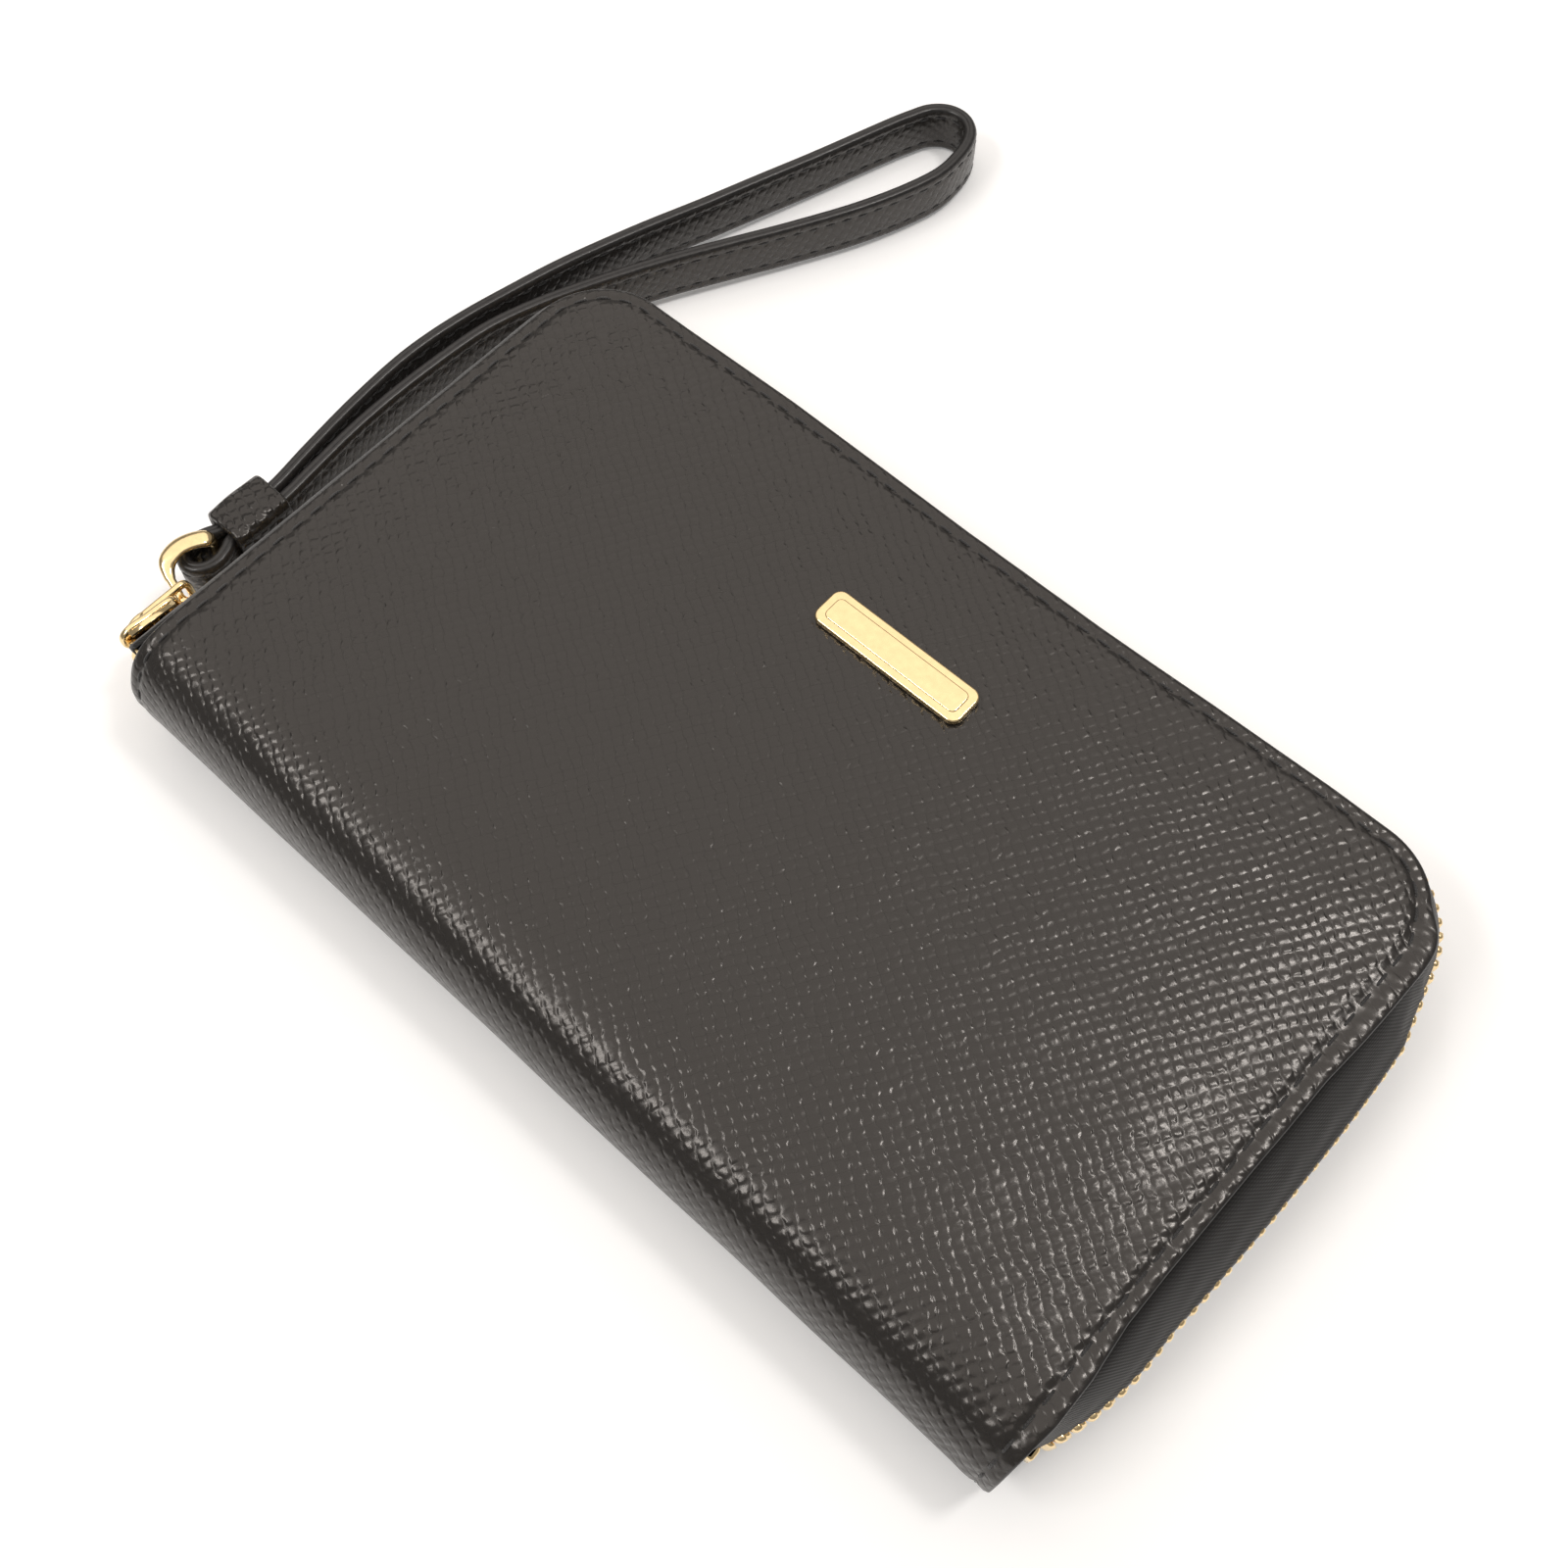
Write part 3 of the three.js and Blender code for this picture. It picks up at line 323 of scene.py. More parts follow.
def crossgrain(name, rot=GRAIN_ROT, along=1.62, across=1.57, depth=0.000135, rough=0.235, tone=1.0, gv=0.48, gu=0.62, kind="uv"):
    """embossed rows of short raised dashes, black pigment, worn glossy on top; the colour darkens into the grooves and
    pits as painted shade
    """
    m = N(name)
    mm = m.coords(kind, rot)
    # warp keeps the rows hand-made
    n1f, n1 = m.noise(mm, 0.13, 2.0)
    wv = m.node("ShaderNodeVectorMath", operation="MULTIPLY_ADD")
    m.link(n1, wv.inputs[0])
    wv.inputs[1].default_value = (2.0, 1.5, 0)
    m.link(mm, wv.inputs[2])
    n2f, n2 = m.noise(mm, 0.75, 1.0)
    wv2 = m.node("ShaderNodeVectorMath", operation="MULTIPLY_ADD")
    m.link(n2, wv2.inputs[0])
    wv2.inputs[1].default_value = (0.95, 0.6, 0)
    m.link(wv.outputs[0], wv2.inputs[2])
    c = m.xyz(wv2.outputs[0])
    v = m.math("DIVIDE", c[1], across)
    row = m.math("FLOOR", v)
    u = m.math("DIVIDE", c[0], along)
    cell = m.math("FLOOR", u)
    comb = m.node("ShaderNodeCombineXYZ")
    m.link(cell, comb.inputs[0])
    m.link(row, comb.inputs[1])
    cr = m.node("ShaderNodeTexWhiteNoise", noise_dimensions="2D")
    m.link(comb.outputs[0], cr.inputs["Vector"])
    rs = m.node("ShaderNodeSeparateColor")
    m.link(cr.outputs["Color"], rs.inputs[0])
    # 1 on the boundary between dashes (cu) and between rows (cv)
    cu = m.math("MULTIPLY_ADD", m.math("COSINE", m.math("MULTIPLY", u, 2 * PI)), 0.5, 0.5)
    cv = m.math("MULTIPLY_ADD", m.math("COSINE", m.math("MULTIPLY", v, 2 * PI)), 0.5, 0.5)
    groove = m.math("POWER", cv, 1.15)
    gap = m.math("MULTIPLY", m.math("POWER", cu, 3.2), m.math("MULTIPLY_ADD", cv, -0.8, 1.0))
    top = m.math("SUBTRACT", 1.0, m.math("MULTIPLY_ADD", groove, gv, m.math("MULTIPLY", gap, gu)))
    win = m.math("MULTIPLY", m.math("SUBTRACT", 1.0, groove), m.math("SUBTRACT", 1.0, gap))
    fu = m.math("SUBTRACT", m.math("FRACT", u), 0.5)
    fv = m.math("SUBTRACT", m.math("FRACT", v), 0.5)
    tilt_ = m.math("MULTIPLY_ADD", fu, m.math("SUBTRACT", rs.outputs[1], 0.5), m.math("MULTIPLY", fv, m.math("SUBTRACT", rs.outputs[2], 0.5)))
    pil = m.math("MULTIPLY_ADD", top, m.math("MULTIPLY_ADD", rs.outputs[0], 0.5, 0.6), m.math("MULTIPLY", m.math("MULTIPLY", tilt_, win), 0.9))
    fine, _ = m.noise(m.coords(kind, 0.0), 5.0, 2.0, 0.5)
    h = m.math("MULTIPLY_ADD", fine, 0.05, pil)
    big, _ = m.noise(mm, 0.05, 2.0)
    # base colour: lo in the row grooves and dash gaps, hi on the raised tops; the dark grooves and pits are painted
    # shade
    lo = tuple(x * tone for x in (0.0040, 0.0037, 0.0035))
    hi = tuple(x * tone for x in (0.0215, 0.0195, 0.0180))
    colour = m.ramp(top, [(0.05, lo), (0.5, hi)])
    m.link(colour, m.b.inputs["Base Color"])
    rg = m.math("MULTIPLY_ADD", fine, 0.14, m.math("MULTIPLY_ADD", big, 0.08, rough - 0.11))
    m.link(m.math("ADD", rg, m.maprange(top, 0.0, 0.5, 0.25, 0.0)), m.b.inputs["Roughness"])
    m.link(m.bump(h, depth, 1.0), m.b.inputs["Normal"])
    m.set(Specular_IOR_Level=0.5, Specular_Tint=(1.0, 0.955, 0.92, 1))
    return m.mat


def edge_paint(name, rough=0.3):
    m = N(name)
    c = m.coords("obj")
    n, _ = m.noise(c, 1.2, 3.0)
    m.link(m.ramp(n, [(0.3, (0.010, 0.009, 0.009)), (0.7, (0.022, 0.020, 0.019))]), m.b.inputs["Base Color"])
    m.link(m.math("MULTIPLY_ADD", n, 0.2, rough - 0.08), m.b.inputs["Roughness"])
    m.link(m.bump(n, 0.00006, 0.6), m.b.inputs["Normal"])
    return m.mat


def smooth_leather(name, base=(0.016, 0.015, 0.015), rough=0.42):
    """pocket leather: fine pebbled grain"""
    m = N(name)
    c = m.coords("uv")
    vo = m.node("ShaderNodeTexVoronoi", feature="DISTANCE_TO_EDGE")
    vo.inputs["Scale"].default_value = 1.6
    m.link(c, vo.inputs["Vector"])
    n, _ = m.noise(c, 0.35, 3.0)
    h = m.maprange(vo.outputs["Distance"], 0.0, 0.18, 0.0, 1.0, True)
    # colour: random tone from the noise, and darker along the creases between the pebbles as painted shade
    m.link(m.ramp(m.math("MULTIPLY_ADD", n, 0.6, m.math("MULTIPLY", h, 0.4)), [(0.2, tuple(x * 0.55 for x in base)), (0.8, tuple(x * 1.35 for x in base))]), m.b.inputs["Base Color"])
    m.link(m.math("MULTIPLY_ADD", n, 0.18, rough - 0.09), m.b.inputs["Roughness"])
    m.link(m.bump(h, 0.00005, 0.8), m.b.inputs["Normal"])
    return m.mat


def woven(name, base, pitch=0.45, rot=0.0, diag=False, rough=0.85, depth=0.00008):
    """plain weave, or twill when diag"""
    m = N(name)
    c = m.coords("uv", rot)
    s = m.xyz(c)
    k = PI / pitch
    if diag:
        a = m.math("SINE", m.math("MULTIPLY", m.math("ADD", s[0], s[1]), k))
        b = m.math("SINE", m.math("MULTIPLY", s[1], k * 2.0))
        h = m.math("MULTIPLY_ADD", a, 0.36, m.math("MULTIPLY_ADD", b, 0.14, 0.5))
    else:
        a = m.math("SINE", m.math("MULTIPLY", s[0], k))
        b = m.math("SINE", m.math("MULTIPLY", s[1], k))
        h = m.math("MULTIPLY_ADD", m.math("MULTIPLY", a, b), 0.5, 0.5)
    n, _ = m.noise(c, 0.5, 4.0)
    f, _ = m.noise(c, 4.0, 3.0)
    hh = m.math("MULTIPLY_ADD", f, 0.35, h)
    # colour: darker in the low points of the weave as painted shade, with random tone from the noise
    mix = m.math("MULTIPLY_ADD", n, 0.35, m.math("MULTIPLY", h, 0.65))
    m.link(m.ramp(mix, [(0.15, tuple(x * 0.45 for x in base)), (0.85, tuple(x * 1.5 for x in base))]), m.b.inputs["Base Color"])
    m.link(m.bump(hh, depth, 1.0), m.b.inputs["Normal"])
    m.set(Roughness=rough, Sheen_Weight=0.25, Sheen_Roughness=0.5, Specular_IOR_Level=0.25)
    return m.mat


def gold(name, base=(0.93, 0.72, 0.40), rough=0.16):
    m = N(name)
    c = m.coords("obj")
    n, _ = m.noise(c, 0.9, 4.0)
    f, _ = m.noise(c, 9.0, 2.0)
    m.link(m.ramp(n, [(0.3, tuple(x * 0.93 for x in base)), (0.7, tuple(min(1, x * 1.04) for x in base))]), m.b.inputs["Base Color"])
    m.link(m.math("MULTIPLY_ADD", n, 0.12, m.math("MULTIPLY_ADD", f, 0.05, rough - 0.08)), m.b.inputs["Roughness"])
    m.link(m.bump(f, 0.000006, 0.7), m.b.inputs["Normal"])
    m.set(Metallic=1.0)
    return m.mat


def thread_mat(name, base=(0.014, 0.013, 0.013)):
    m = N(name)
    s = m.xyz(m.coords("uv"))
    tw = m.math("SINE", m.math("MULTIPLY", m.math("ADD", s[0], m.math("MULTIPLY", s[1], 0.9)), 2 * PI / 0.42))
    h = m.math("MULTIPLY_ADD", tw, 0.5, 0.5)
    # colour darker in the grooves of the twist: painted shade
    m.link(m.ramp(h, [(0.1, tuple(x * 0.5 for x in base)), (0.9, tuple(x * 1.6 for x in base))]), m.b.inputs["Base Color"])
    m.link(m.bump(h, 0.00005, 1.0), m.b.inputs["Normal"])
    m.set(Roughness=0.5, Sheen_Weight=0.2)
    return m.mat


def board_mat(name):
    m = N(name)
    c = m.coords("obj")
    n, _ = m.noise(c, 1.5, 6.0, 0.7)
    m.link(m.ramp(n, [(0.3, (0.13, 0.11, 0.085)), (0.7, (0.26, 0.23, 0.18))]), m.b.inputs["Base Color"])
    m.link(m.bump(n, 0.0001, 0.8), m.b.inputs["Normal"])
    m.set(Roughness=0.9)
    return m.mat


LEATHER = crossgrain("cover_crossgrain")
# the strap's copy of the leather is 1.35 times lighter in colour than the cover's: painted light, not a different
# leather
LEATHER_STRAP = crossgrain("strap_crossgrain", rot=math.radians(-35), rough=0.26, tone=1.35)
LEATHER_KEEP = crossgrain("keeper_crossgrain", rot=math.radians(20), depth=0.00026, rough=0.24, tone=0.9)
EDGE = edge_paint("edge_paint")
POCKET = smooth_leather("pocket_leather")
LINING = woven("lining_weave", (0.020, 0.020, 0.021), 0.4)
GUSSET = woven("gusset_weave", (0.018, 0.018, 0.019), 0.4, math.radians(12))
TAPE = woven("tape_twill", (0.0115, 0.0108, 0.0104), 0.34, 0.0, True, 0.75, 0.00005)
GOLD = gold("gold_fittings")
GOLD_T = gold("gold_teeth", (0.96, 0.74, 0.42), 0.2)
THREAD = thread_mat("black_thread")
BOARD = board_mat("fibre_board")


# ------------------------------------------------------------------ cover section: r from the spine, z up
_half = np.array([[0.0, 11.0], [0.3, 13.2], [0.95, 15.5], [1.9, 17.4], [3.05, 19.0], [4.7, 20.3], [6.7, 21.12], [9.0, 21.58], [11.8, 21.86], [15.0, 21.97], [20, 22.0], [26, 22.0]])
_top = catmull(_half, 200, False)
_bot = _top.copy()
_bot[:, 1] = 22 - _bot[:, 1]


def wrap_section(r_free, inset=0.0):
    """dense (r, z) line from the front free edge, round the spine, to the back free edge"""
    line = np.vstack([[[r_free, 22.0]], _top[::-1], _bot[1:], [[r_free, 0.0]]])
    if inset:
        d = np.gradient(line, axis=0)
        d /= np.linalg.norm(d, axis=1)[:, None]
        nn = np.stack([d[:, 1], -d[:, 0]], 1)      # left of travel is outward on this line
        line = line - nn * inset * (-1)
    s = np.concatenate([[0], np.cumsum(np.linalg.norm(np.diff(line, axis=0), axis=1))])
    return line, s


class Wrap:
    """a sheet wrapped round the spine: front cover, spine, back cover"""

    def __init__(self, half_x, r_free, corner, inset, height):
        self.hx0, self.rf, self.cr, self.inset, self.height = half_x, r_free, corner, inset, height
        self.shift = None
        self.lift = None
        self.line, self.s = wrap_section(r_free)
        d = np.gradient(self.line, axis=0)
        d /= np.linalg.norm(d, axis=1)[:, None]
        self.nrm = np.stack([-d[:, 1], d[:, 0]], 1)  # outward
        k = len(self.line) // 2
        if self.nrm[k, 0] > 0:
            self.nrm = -self.nrm
        if self.nrm[2, 1] < 0:
            self.nrm[:2] = [0, 1]
            self.nrm[-2:] = [0, -1]
        self.nrm[0], self.nrm[1] = [0, 1], [0, 1]
        self.nrm[-1], self.nrm[-2] = [0, -1], [0, -1]
        self.W = self.s[-1]

    def base(self, w):
        r = np.interp(w, self.s, self.line[:, 0])
        z = np.interp(w, self.s, self.line[:, 1])
        nr = np.interp(w, self.s, self.nrm[:, 0])
        nz = np.interp(w, self.s, self.nrm[:, 1])
        l = np.hypot(nr, nz)
        return r, z, nr / l, nz / l

    def edge_dist(self, x, r):
        """distance from the outline, spine side left out"""
        ax = np.abs(x)
        d = np.minimum(self.hx0 - ax, self.rf - r)
        cx, cy = self.hx0 - self.cr, self.rf - self.cr
        inc = (ax > cx) & (r > cy)
        return np.where(inc, self.cr - np.hypot(ax - cx, r - cy), d)

    def point(self, x, w, drop=0.0):
        r, z, nr, nz = self.base(w)
        h = self.height(x, r, z, w, self.edge_dist(x, r)) - self.inset - drop
        if self.shift is not None:
            x = x + self.shift(x, r)
        up = self.lift(x, r) if self.lift is not None else 0.0
        return np.stack([x + 0 * r, Y0 + r + up + nr * h, z + nz * h], -1), np.stack([0 * r + 0 * x, nr + 0 * x, nz + 0 * x], -1)

    def half_width(self, r):
        t = np.clip(r - (self.rf - self.cr), 0, self.cr)
        return self.hx0 - self.cr + np.sqrt(np.maximum(0, self.cr ** 2 - t ** 2))

    def rows(self, step_flat, step_roll, roll_r=15.0):
        th = np.linspace(PI / 2, 0, max(8, int(self.cr * PI / 2 / step_flat)))
        r1 = self.rf - self.cr + self.cr * np.sin(th)
        r2 = np.arange(self.rf - self.cr - step_flat, roll_r, -step_flat)
        rr = np.concatenate([r1, r2])
        wf = self.rf - rr                       # flat part: arc length is plain distance
        w_roll = np.arange(wf[-1] + step_roll, self.W - wf[-1] - step_roll / 2, step_roll)
        return np.concatenate([wf, w_roll, (self.W - wf)[::-1]])

    def cols(self, fine, coarse, band=8.0):
        a = np.arange(0, band, fine) / self.hx0
        mid = np.linspace(-1 + band / self.hx0, 1 - band / self.hx0, int(2 * (self.hx0 - band) / coarse))
        return np.concatenate([-1 + a, mid, (1 - a)[::-1]])

    def mesh(self, w, u, thick, rim, extra=None):
        """closed sheet; rim is a list of (out, down) from the outer surface's edge to the inner one's"""
        r, _, nr, nz = self.base(w)
        hx = self.half_width(r)
        X = hx[:, None] * u[None, :]
        Wg = np.repeat(w[:, None], len(u), 1)
        P, Nn = self.point(X, Wg)
        Q = P - Nn * thick
        nw, nu = X.shape
        verts = [P.reshape(-1, 3), Q.reshape(-1, 3)]
        uv = [np.stack([X, -Wg], -1).reshape(-1, 2)] * 2
        f = [tuple(q) for q in grid_faces(nw, nu)]
        off = nw * nu
        f += [tuple(i + off for i in reversed(q)) for q in grid_faces(nw, nu)]
        # loop round the outline
        idx = [(0, j) for j in range(nu)] + [(i, nu - 1) for i in range(1, nw)] + [(nw - 1, j) for j in range(nu - 2, -1, -1)] + [(i, 0) for i in range(nw - 2, 0, -1)]
        I = np.array([i for i, j in idx]); J = np.array([j for i, j in idx])
        C, CN = P[I, J], Nn[I, J]
        t = np.roll(C, -1, 0) - np.roll(C, 1, 0)
        t -= (t * CN).sum(1)[:, None] * CN
        t /= np.linalg.norm(t, axis=1)[:, None]
        O = np.cross(CN, t)
        mid = np.array([0, Y(50), ZM])
        # outward check on the first row
        if O[len(u) // 2, 1] < 0:
            O = -O
        n = len(idx)
        ring_prev = I * nu + J
        k0 = 2 * off
        uvc = uv[0].reshape(nw, nu, 2)[I, J]
        flipf = None
        for q, (o_, d_) in enumerate(rim):
            verts.append(C + O * o_ - CN * d_)
            uv.append(uvc + np.stack([np.sign(C[:, 0]) * 0, 0 * C[:, 0]], -1) + q * 0.25)
            cur = np.arange(k0, k0 + n)
            for a in range(n):
                b = (a + 1) % n
                f.append((ring_prev[a], ring_prev[b], cur[b], cur[a]))
            ring_prev = cur
            k0 += n
        last = off + I * nu + J
        for a in range(n):
            b = (a + 1) % n
            f.append((ring_prev[a], ring_prev[b], last[b], last[a]))
        nf_main = len(f)
        V = np.vstack(verts)
        f = self._orient(V, f, P, Nn, nw, nu)
        mi = [0] * (2 * (nw - 1) * (nu - 1)) + [1] * (nf_main - 2 * (nw - 1) * (nu - 1))
        return V, f, np.vstack(uv), mi

    def _orient(self, V, f, P, Nn, nw, nu):
        q = f[(nw // 8) * (nu - 1) + nu // 2]
        a, b, c = V[q[0]], V[q[1]], V[q[2]]
        n = np.cross(b - a, c - b)
        if np.dot(n, Nn[nw // 8, nu // 2]) < 0:
            f = [tuple(reversed(x)) for x in f]
        # the rim winds the same way as the loop: test one rim face against its outward side
        k = 2 * (nw - 1) * (nu - 1) + nu // 2
        q = f[k]
        a, b, c = V[q[0]], V[q[1]], V[q[2]]
        n = np.cross(b - a, c - b)
        if n[1] < 0 and abs(n[1]) > abs(n[2]) * 0.2 or (abs(n[1]) <= abs(n[2]) * 0.2 and n[2] < 0):
            f = f[:2 * (nw - 1) * (nu - 1)] + [tuple(reversed(x)) for x in f[2 * (nw - 1) * (nu - 1):]]
        return f


ST_IN = 1.75         # seam, in from the leather's own edge
ST_PITCH = 3.7


def cover_height(x, r, z, w, d):
    flat = sstep(6, 20, r)
    h = -0.22 * np.exp(-np.maximum(d, 0) / 0.9) - 0.30 * (1 - sstep(1.0, 15, d)) * flat
    h = h + 0.09 * np.exp(-((d - 0.35) / 0.35) ** 2)                      # folded edge stands a little proud
    h = h - 0.30 * np.exp(-((d - ST_IN) / 0.42) ** 2) * (0.8 + 0.3 * waves(x, r, 2, 7))   # the seam pulls the leather down
    h = h + 0.10 * np.exp(-((d - ST_IN - 2.0) / 1.3) ** 2) * (0.75 + 0.6 * waves(x, r, 3, 16))
    h = h + flat * 0.10 * waves(x, r, 5, 38) * sstep(2, 14, d)
    h = h + flat * 0.03 * waves(x, r, 8, 11) * sstep(3, 12, d)
    # creases along the roll, strongest near its ends
    roll = np.exp(-((w - W_MID) / 15.0) ** 2)
    ends = 0.35 + 0.75 * sstep(35, 80, x) + 0.35 * sstep(50, 80, -x)
    cre = waves(x * 0.16 + w * 0.045, w, 11, 4.2, 12, 0.5)
    h = h + 0.075 * roll * ends * cre
    h = h + 0.06 * roll * waves(x, w * 2.2, 21, 24)
    # puckers at the seam
    h = h + 0.05 * np.exp(-((d - ST_IN - 0.9) / 1.1) ** 2) * waves(x, r, 31, 3.6) * flat
    return h


def cover_shift(x, r):
    """the worn outline: the far right corner flares, the right side is drawn in a little by its middle"""
    e = np.interp(r, [0, 6, 10, 17, 25, 33, 42, 50, 58, 66, 74, 80, 86, 95, 101], [0.0, 0.5, 0.95, 0.9, 0.15, 0.15, 0.35, 0.5, 0.75, 0.85, 1.5, 1.75, 1.9, 1.6, 1.2])
    return e * sstep(79.6, 82.0, x)


def cover_lift(x, r):
    """the free edge waves out a little along the zip side"""
    e = np.interp(x, [-84, -62, -55, -40, -20, -4, 20, 30, 40, 60, 70, 78, 84], [0.1, 0.2, 0.35, 0.6, 0.3, 0.0, 0.0, 0.2, 0.5, 0.85, 0.75, 0.5, 0.3])
    return e * sstep(90.0, 99.0, r)


cover = Wrap(XS - 0.35, DEPTH - 0.35, CR - 0.35, 0.0, lambda *a: 0)
W_MID = cover.W / 2
cover.height = cover_height
cover.shift = cover_shift
cover.lift = cover_lift
wrow = cover.rows(0.78, 0.45)
ucol = cover.cols(0.42, 0.85, 9.0)
rim = [(0.14, 0.04), (0.27, 0.16), (0.34, 0.34), (0.335, 0.52), (0.25, 0.63), (0.255, 0.69), (0.34, 0.80), (0.35, 1.0), (0.28, 1.2), (0.14, 1.32)]
V, Fc, UVc, MI = cover.mesh(wrow, ucol, 1.38, rim)
cov = obj_from("cover_leather", V, Fc, None, UVc, True, MI, [LEATHER, EDGE])
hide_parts("back_leather", "front_leather")
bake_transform(cov)


# stitches: short twisted threads that dive into the leather at both ends
def stitch_run(bld, pts, nrm, pitch, length, rad, lift):
    """pts and nrm are dense along the seam"""
    s = np.concatenate([[0], np.cumsum(np.linalg.norm(np.diff(pts, axis=0), axis=1))])
    n = int(s[-1] // pitch)
    pad = (s[-1] - n * pitch) / 2
    k = 7
    ring = np.array([(math.cos(a), math.sin(a)) for a in np.linspace(0, 2 * PI, 7)[:-1]])
    for i in range(n):
        c = pad + (i + 0.5) * pitch
        q = np.linspace(c - length / 2, c + length / 2, k)
        P = np.stack([np.interp(q, s, pts[:, j]) for j in range(3)], 1)
        Nn = np.stack([np.interp(q, s, nrm[:, j]) for j in range(3)], 1)
        Nn /= np.linalg.norm(Nn, axis=1)[:, None]
        tt = np.linspace(-1, 1, k)
        arch = lift - 0.75 * rad * 2.2 * np.abs(tt) ** 3
        P = P + Nn * arch[:, None]
        _, a, b = frames(P, Nn)
        sc = rad * (1 - 0.35 * np.abs(tt) ** 4)
        v, f, uv = tube(P, a, b, ring[None] * sc[:, None, None] * np.array([0.85, 1.0]))
        uv[:, 0] += i * 3.1
        bld.add(v, outward_faces(v, f), uv)


def seam_path(wr, inset, w0, w1, step=0.5):
    """left empty and returns nothing; the line at a constant distance inside the outline, (x, w) along left side, top
    and right side, is laid out in cover_seams
    """


def cover_seams():
    b = Build()
    hx, rf, cr = cover.hx0 - ST_IN, cover.rf - ST_IN, cover.cr - ST_IN
    cx, cy = hx - cr, rf - cr
    arc = np.linspace(0, PI / 2, 30)
    # front: from the middle of the spine on the left, out, across, back to the spine on the right; then the same below
    for front in (True, False):
        wr = (lambda r: cover.rf - r) if front else (lambda r: cover.W - (cover.rf - r))
        spine_w = np.linspace(W_MID, wr(16.0), 60)
        left = np.stack([np.full(60, -hx), spine_w], 1)
        side = np.stack([np.full(120, -hx), wr(np.linspace(16.0, cy, 120))], 1)[1:]
        c1 = np.stack([-cx - cr * np.cos(arc), wr(cy + cr * np.sin(arc))], 1)[1:]
        top = np.stack([np.linspace(-cx, cx, 160), np.full(160, wr(rf))], 1)[1:]
        c2 = np.stack([cx + cr * np.sin(arc), wr(cy + cr * np.cos(arc))], 1)[1:]
        side2 = np.stack([np.full(120, hx), wr(np.linspace(cy, 16.0, 120))], 1)[1:]
        right = np.stack([np.full(60, hx), spine_w[::-1]], 1)[1:]
        xw = np.vstack([left, side, c1, top, c2, side2, right])
        P, Nn = cover.point(xw[:, 0], xw[:, 1])
        stitch_run(b, P, Nn, ST_PITCH, 2.75, 0.24, 0.13)
    return b


b = cover_seams()
st = b.obj("cover_stitching", THREAD)
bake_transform(st)

# ------------------------------------------------------------------ lining: one cloth, front, spine and back
lin = Wrap(XS - 1.4, DEPTH - 1.5, 11.0, 3.2, lambda x, r, z, w, d: 0.05 * waves(x, w, 41, 30) * sstep(1, 8, d))
wl, ul = lin.rows(2.0, 1.0), lin.cols(1.2, 2.4)
V, Fc, UVc, MI = lin.mesh(wl, ul, 0.36, [(0.12, 0.08), (0.16, 0.18), (0.12, 0.28)])
lo = obj_from("cover_lining", V, Fc, None, UVc, True, MI, [LINING, LINING])
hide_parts("back_lining", "front_lining")
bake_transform(lo)

# ------------------------------------------------------------------ zip path (as in the CAD)
LEG = Y1 - CR
ARC = (PI / 2) * (CR + CHAIN_OUT)
LEG_A0, LEG_D0 = Y(1.6), Y(7.0)
S1 = LEG - LEG_A0
S2 = S1 + ARC
S3 = S2 + 2 * (XS - CR)
S4 = S3 + ARC
S5 = S4 + (LEG - LEG_D0)


def outward(s):
    s = np.asarray(s, float)
    y = LEG - (s - S4)
    r = y - Y0
    t = np.clip((r - 6.5) / 22, 0, 1)
    rise = 1 - (1 - t) ** 2.6
    mid = np.maximum(0, 1 - ((r - 64) / 34) ** 2)
    return np.where(s <= S4, 1.0, 0.08 + 0.92 * rise + (1.3 / CHAIN_OUT) * mid)


def tuck(s):
    """share of the chain's full reach that is left where the cloth is drawn in under the covers"""
    return np.interp(s, [0, 13, 17, S1 - 1, S1 + 13, S2, S3, S3 + 10, S4 - 4, S4 + 2, S4 + 8, S4 + 14, S5 - 16, S5 - 6, S5], [1, 1, 0.955, 0.95, 0.8, 0.66, 0.66, 0.63, 0.6, 0.68, 0.9, 0.92, 0.91, 0.86, 0.86])


def on_path(s, n, z):
    s, n, z = np.broadcast_arrays(*(np.asarray(a, float) for a in (s, n, z)))
    mm = np.where(n > 0, n * outward(s) * tuck(s), n)
    a1 = PI - (s - S1) / (CR + CHAIN_OUT)
    a2 = PI / 2 - (s - S3) / (CR + CHAIN_OUT)
    px = np.select([s <= S1, s <= S2, s <= S3, s <= S4], [-XS + 0 * s, -XS + CR + CR * np.cos(a1), -XS + CR + (s - S2), XS - CR + CR * np.cos(a2)], XS)
    py = np.select([s <= S1, s <= S2, s <= S3, s <= S4], [LEG_A0 + s, LEG + CR * np.sin(a1), Y1 + 0 * s, LEG + CR * np.sin(a2)], LEG - (s - S4))
    dx = np.select([s <= S1, s <= S2, s <= S3, s <= S4], [-1.0 + 0 * s, np.cos(a1), 0 * s, np.cos(a2)], 1.0)
    dy = np.select([s <= S1, s <= S2, s <= S3, s <= S4], [0 * s, np.sin(a1), 1 + 0 * s, np.sin(a2)], 0.0)
    return np.stack([px + dx * mm, py + dy * mm, z], -1)


